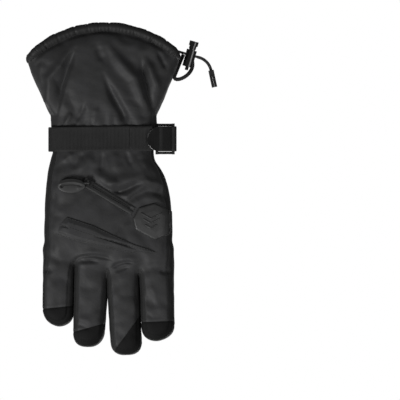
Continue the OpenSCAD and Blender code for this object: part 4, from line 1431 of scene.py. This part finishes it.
def make_webbing():
    """The strap round the wrist, its second layer, its free end round the ring's outer bar, the
    loop that holds the ring's inner bar, the hook tape, and the gathered elastic."""
    low, high = box_of("strap_webbing")
    y = (low[1] + box_of("strap_loop_patch")[1][1]) / 2 + 0.05
    side = (low[0] - low[1], 0)
    path = arc(side, -y - 2.2, 112, 118, 4) + arc(side, -y, 124, 270, 36) + [(high[0], y)]
    ribbon("strap_band", "strap_webbing", path, 1.3, "webbing", "hand", lift=1.6)
    path = straight("strap_loop_patch", 1.5)
    ribbon("strap_second_layer", "strap_loop_patch", path, 0.85, "webbing", "hand", above=0.3, corner=5)
    low, _ = box_of("strap_end")
    path = [(low[0] - 0.8, low[1] + 0.6), (53, low[1] + 1.2), (56, -19.4), (60, -15.4)]
    path += arc(joint_of("tab_peel")[0], 2.45, -138, 128, 20) + [(59.8, -10.4), (57.2, -12.4)]
    ribbon("strap_free_end", "strap_end", path, 1.25, "webbing", "strap_tab", 0.4, 0.62, rib=0.14)
    path = arc((ANCHOR_X, 0), ANCHOR_R, 28, -22, 16)
    path += arc(joint_of("buckle_pivot")[0], 2.35, 172, -128, 16) + [(45.6, -13.6)]
    ribbon("strap_ring_loop", "strap_anchor", path, 1.0, "webbing", "hand", rib=0.1)
    path = straight("hook_patch")
    ribbon("hook_tape", "hook_patch", path, 0.4, "hook_loop", "strap_tab", pitch=0.9, rib=0.14)
    low, high = box_of("wrist_elastic")
    x = np.linspace(low[0], high[0], 90)
    path = np.stack([x, 12.6 + 0.7 * np.sin(2 * np.pi * x / RUFFLE_PITCH)], 1)
    ribbon("elastic_band", "wrist_elastic", path, 0.9, "elastic", "hand", pitch=1.4, rib=0.1)


# ---- cords ----


def cord(name, path, radius, slot, rides, stands_for=None, braid=0.16, flat=1.0):
    """A braided cord along a path in x, y and z."""
    spine, at = evenly(path, 0.35)
    ahead = unit(np.gradient(spine, axis=0))
    side = unit(np.cross(ahead, [0, 1, 0]))
    up = np.cross(side, ahead)
    turn, twist = round_steps(20)[None], 2 * np.pi * at[:, None] / 3.2
    r = radius + braid * np.sin(4 * turn + twist) * np.sin(4 * turn - twist)
    rings = (spine[:, None] + side[:, None] * (r * np.cos(turn))[..., None]
             + up[:, None] * (flat * r * np.sin(turn))[..., None])
    points = np.vstack([spine[:1], rings.reshape(-1, 3), spine[-1:]])
    piece(name, points, closed_grid(len(spine), turn.size), slot, rides, stands_for)


# ---- stitches ----


def tree_of(*names):
    """Finished pieces as one tree that a ray can hit."""
    points, tris, start = [], [], 0
    for name in names:
        p, t = surfaces[name]
        points.append(p)
        tris.append(t + start)
        start += len(p)
    return BVHTree.FromPolygons(np.vstack(points).tolist(), np.vstack(tris).tolist())


# One stitch: places along it, as a share of its length, and its thickness there
STITCH = [(-0.5, 0.25), (-0.42, 0.8), (0, 1.0), (0.42, 0.8), (0.5, 0.25)]


def stitches(name, paths, tree, rides, back=True, pitch=3.0, long=2.1, wide=0.32):
    """A row of raised stitches along each path in x and z, laid on the surface seen from one side."""
    ray = Vector((0, 1 if back else -1, 0))
    turn = round_steps(6)
    fan = np.array([[0, k + 1, k] for k in range(1, len(turn) - 1)])
    last = (len(STITCH) - 1) * len(turn)
    shape = np.vstack([grid(len(STITCH), len(turn)), fan, fan[:, ::-1] + last])
    points, tris = [], []
    for path in paths:
        spots, _ = evenly(path, pitch)
        for (x, z), (dx, dz) in zip(spots, np.gradient(spots, axis=0)):
            hit, normal, _, _ = tree.ray_cast(Vector((x, -90 * ray.y, z)), ray)
            if hit is None:
                continue
            hit, normal = np.array(hit), np.array(normal) * (-1 if normal.y * ray.y > 0 else 1)
            ahead = np.array([dx, 0, dz])
            ahead = unit(ahead - normal * (ahead @ normal))
            side = np.cross(normal, ahead)
            tris.append(shape + len(points) * len(turn))
            for s, r in STITCH:
                rise = 0.5 * wide * (1 - 4 * s**2) + 0.8 * r * wide * np.sin(turn)
                out = r * wide * np.cos(turn)
                points.append(hit + ahead * (s * long) + np.outer(rise, normal) + np.outer(out, side))
    piece(name, np.vstack(points), np.vstack(tris), "thread", rides)


def zip_row(start, end, across):
    """A line beside the zip, from start to end along it."""
    side = np.array([ZIP_AHEAD[1], -ZIP_AHEAD[0]])
    return [ZIP_START + ZIP_AHEAD * a + side * across for a in (start, end)]


def make_stitches():
    back = tree_of("back_panel", "knuckle_panel", "zip_lips", "badge_plate")
    rows = [KNUCKLE_LOW, KNUCKLE_MIDDLE, KNUCKLE_HIGH]
    stitches("knuckle_stitches", rows, back, "hand", pitch=2.6, long=1.8)
    rows = [zip_row(-2, 46, 5.6), zip_row(2, 46, -4.3)]
    stitches("zip_stitches", rows, back, "hand", pitch=2.6, long=1.8)
    rim = arc(HEM_CENTRE, HEM_R - 12, 50, 130, 59)
    stitches("cuff_stitches", [rim], tree_of("cuff_cover"), "gauntlet", back=False, pitch=3.2, wide=0.24)
    palm = tree_of("palm_grip_panel", "palm_heel")
    heel = [(x, float(curve(x, HEEL_SEAM)) + 2.0) for x in np.linspace(-50, 16, 34)]
    stitches("palm_stitches", [heel], palm, "hand", back=False)


# ---- hardware ----


def finish(slot, names, bevel=0.25):
    """CAD parts that keep their shape, with a detailed material and softly rounded edges."""
    for name in names:
        obj = frame["nodes"][name]
        if not len(obj.material_slots):
            obj.data.materials.append(None)
        for held in obj.material_slots:
            held.link = "OBJECT"
            held.material = materials[slot]
        if bevel:
            rounded = obj.modifiers.new("edges", "BEVEL")
            rounded.width = bevel * MM
            rounded.segments = 2
            rounded.limit_method = "ANGLE"
            rounded.angle_limit = math.radians(40)


# The hanging cord's bend: its radius and the degrees it turns
TAIL_R, TAIL_TURN = 16, 62


def make_cords():
    """The cord's hanging end and the webbing tape that ties the lock to the cuff."""
    out, up = joint_of("cord_pull")[1], -joint_of("plunger_press")[1]
    tail = joint_of("tail_swing")[0]
    bend = [tail + out * a + up * b for a, b in arc((0, -TAIL_R), TAIL_R, 90, 90 - TAIL_TURN, 23)]
    end = bend[-1] + unit(bend[-1] - bend[-2]) * 6.5
    cord("cord_hanging_end", [tail - out * 1.6] + bend + [end], 1.45, "cord", "cord_tail", "cord_tail")
    low, high = box_of("lock_tape")
    left, right, top = low[0], high[0], high[2]
    loop = np.array([
        (left + 9.6, 4.6, top + 12), (left + 6.1, 3, top + 4), (left + 2.6, 0, top - 5),
        (left + 0.4, 0, top - 10), (left + 3.6, 0, top - 12), (left + 10, 0, top - 10),
        (right - 2.6, 0, top - 5.5), (right + 0.4, 3, top + 0.5), (right, 4.6, top + 6),
    ])
    for _ in range(3):
        a, b = loop[:-1], loop[1:]
        inner = np.stack([0.75 * a + 0.25 * b, 0.25 * a + 0.75 * b], 1).reshape(-1, 3)
        loop = np.vstack([loop[:1], inner, loop[-1:]])
    cord("lock_tape_loop", loop, 1.8, "webbing", "gauntlet", "lock_tape", flat=0.4)


def make_pull():
    """Oval zip pull: a domed rubber lens with a raised strip along its upper side, a blind eyelet
    and the neck that ties it to the slider."""
    low, high = box_of("zip_pull")
    long, tall = 13, 6.8
    centre_x, centre_z = low[0] + long, (low[2] + high[2]) / 2
    base_y, front = -21.3, -23.3
    rows, turn = 16, round_steps(72)

    def top(x, z):
        u, v = x / long, z / tall
        dome = 0.9 * np.sqrt(np.maximum(1 - u**2 - v**2, 0))
        strip = 0.8 * bell(v - 0.42 * (1 - u**2) - 0.12, 0.2) * (1 - smooth(np.abs(u), 0.75, 0.95))
        groove = 0.5 * bell(v - 0.42 * (1 - u**2) + 0.2, 0.09) * (1 - smooth(np.abs(u), 0.6, 0.9))
        eye = 1.2 * (1 - smooth(np.hypot(x + 9, z + 0.6), 0.8, 1.4))
        bead = 0.5 * bell(np.hypot(x - 7.5, z + 2), 2.0)
        return front - dome - strip + groove + eye - bead

    def ring(size, y=None):
        x, z = long * size * np.cos(turn), tall * size * np.sin(turn)
        return np.stack([x, top(x, z) if y is None else np.full(len(turn), y), z], 1)

    rings = [ring(math.sin(s * math.pi / 2)) for s in np.arange(1, rows + 1) / rows]
    rings += [ring(1.02, front + 0.7), ring(1.0, base_y - 0.3), ring(0.94, base_y)]
    points = np.vstack([[[0, top(0, 0), 0]]] + rings + [[[0, base_y, 0]]]) + [centre_x, 0, centre_z]
    tris = closed_grid(rows + 3, len(turn))[:, ::-1]
    piece("zip_pull_lens", points, tris, "badge_rubber", "zip_pull", "zip_pull", sharp=40)
    pin = joint_of("zip_pull_swing")[0]
    neck = [(centre_x + 10.5, -22.4, centre_z + 1.2), (pin[0] - 3, -22.9, pin[2] + 0.2), pin + [1.2, 0, 0]]
    cord("zip_pull_neck", neck, 1.35, "satin_black", "zip_pull", braid=0.0)


def make_hardware():
    finish("zip_plastic", ["zip_teeth"], bevel=0)
    finish("satin_black", ["zip_slider", "buckle_ring", "cord_end_base", "cord_end_cover"])
    finish("gloss_black", ["lock_barrel", "lock_plunger"])
    finish("gloss_black", ["tab_end"], bevel=0.4)
    finish("spring_steel", ["lock_spring"], bevel=0)
    finish("cord", ["drawcord", "cord_run"], bevel=0)
    make_cords()
    make_pull()
    low, high = box_of("tab_end")
    rim = [(high[0] + x, low[1] + 0.2, z) for x, z in arc((0, 0), high[2] - 0.45, 94, 266, 40)]
    cord("tab_end_rim", rim, 0.5, "gloss_black", "strap_tab", braid=0.0)
    make_pocket()


hand_skin = sew_hand(make_hand_skin())
make_hand_pieces(hand_skin)
make_knuckle_band()
make_badge()
make_zip()
make_grip_patches()
make_thumb()
make_gusset()
make_cuff()
make_hem()
make_layers()
make_webbing()
make_stitches()
make_hardware()


# ---- stage, light and camera, in metres ----

GLOVE_MIDDLE = Vector((0, 0, -0.05))
# The part of the glove's plane that the picture shows
PHOTO_WIDTH = 0.38
PHOTO_CENTRE = (0.0893, -0.058)


def area_light(name, place, size, power):
    lamp = bpy.data.lights.new(name, "AREA")
    lamp.energy, lamp.size = power, size
    obj = add_object(name, lamp)
    obj.location = place
    obj.rotation_mode = "QUATERNION"
    obj.rotation_quaternion = (GLOVE_MIDDLE - Vector(place)).to_track_quat("-Z", "Y")


def make_stage():
    """A surround that is white to the camera and dim as light, and soft lamps, mostly from below."""
    world = bpy.data.worlds.new("surround")
    world.use_nodes = True
    tree = world.node_tree
    seen = add_node(tree, "LightPath").outputs["Is Camera Ray"]
    strength = add_node(tree, "MapRange", Value=seen, To_Min=0.11, To_Max=1.0).outputs[0]
    tree.nodes["Background"].inputs["Color"].default_value = (1, 1, 1, 1)
    tree.links.new(strength, tree.nodes["Background"].inputs["Strength"])
    bpy.context.scene.world = world
    area_light("key", (-0.9, -1.1, -0.95), 0.6, 22.5)
    area_light("fill", (1.1, -1.4, -0.6), 1.0, 8)
    area_light("top", (0.1, -0.4, 1.4), 0.8, 0.8)
    area_light("rear", (0.5, 1.4, -1.0), 0.8, 15)
    area_light("rear_fill", (-0.5, 1.4, -1.0), 1.0, 8)
    bpy.context.scene.view_settings.view_transform = "Standard"


def make_camera():
    lens = bpy.data.cameras.new("camera")
    lens.type = "ORTHO"
    lens.ortho_scale = PHOTO_WIDTH
    camera = add_object("camera", lens)
    camera.location = (PHOTO_CENTRE[0], -1.5, PHOTO_CENTRE[1])
    camera.rotation_euler = (math.radians(90), 0, 0)
    bpy.context.scene.camera = camera


make_stage()
make_camera()
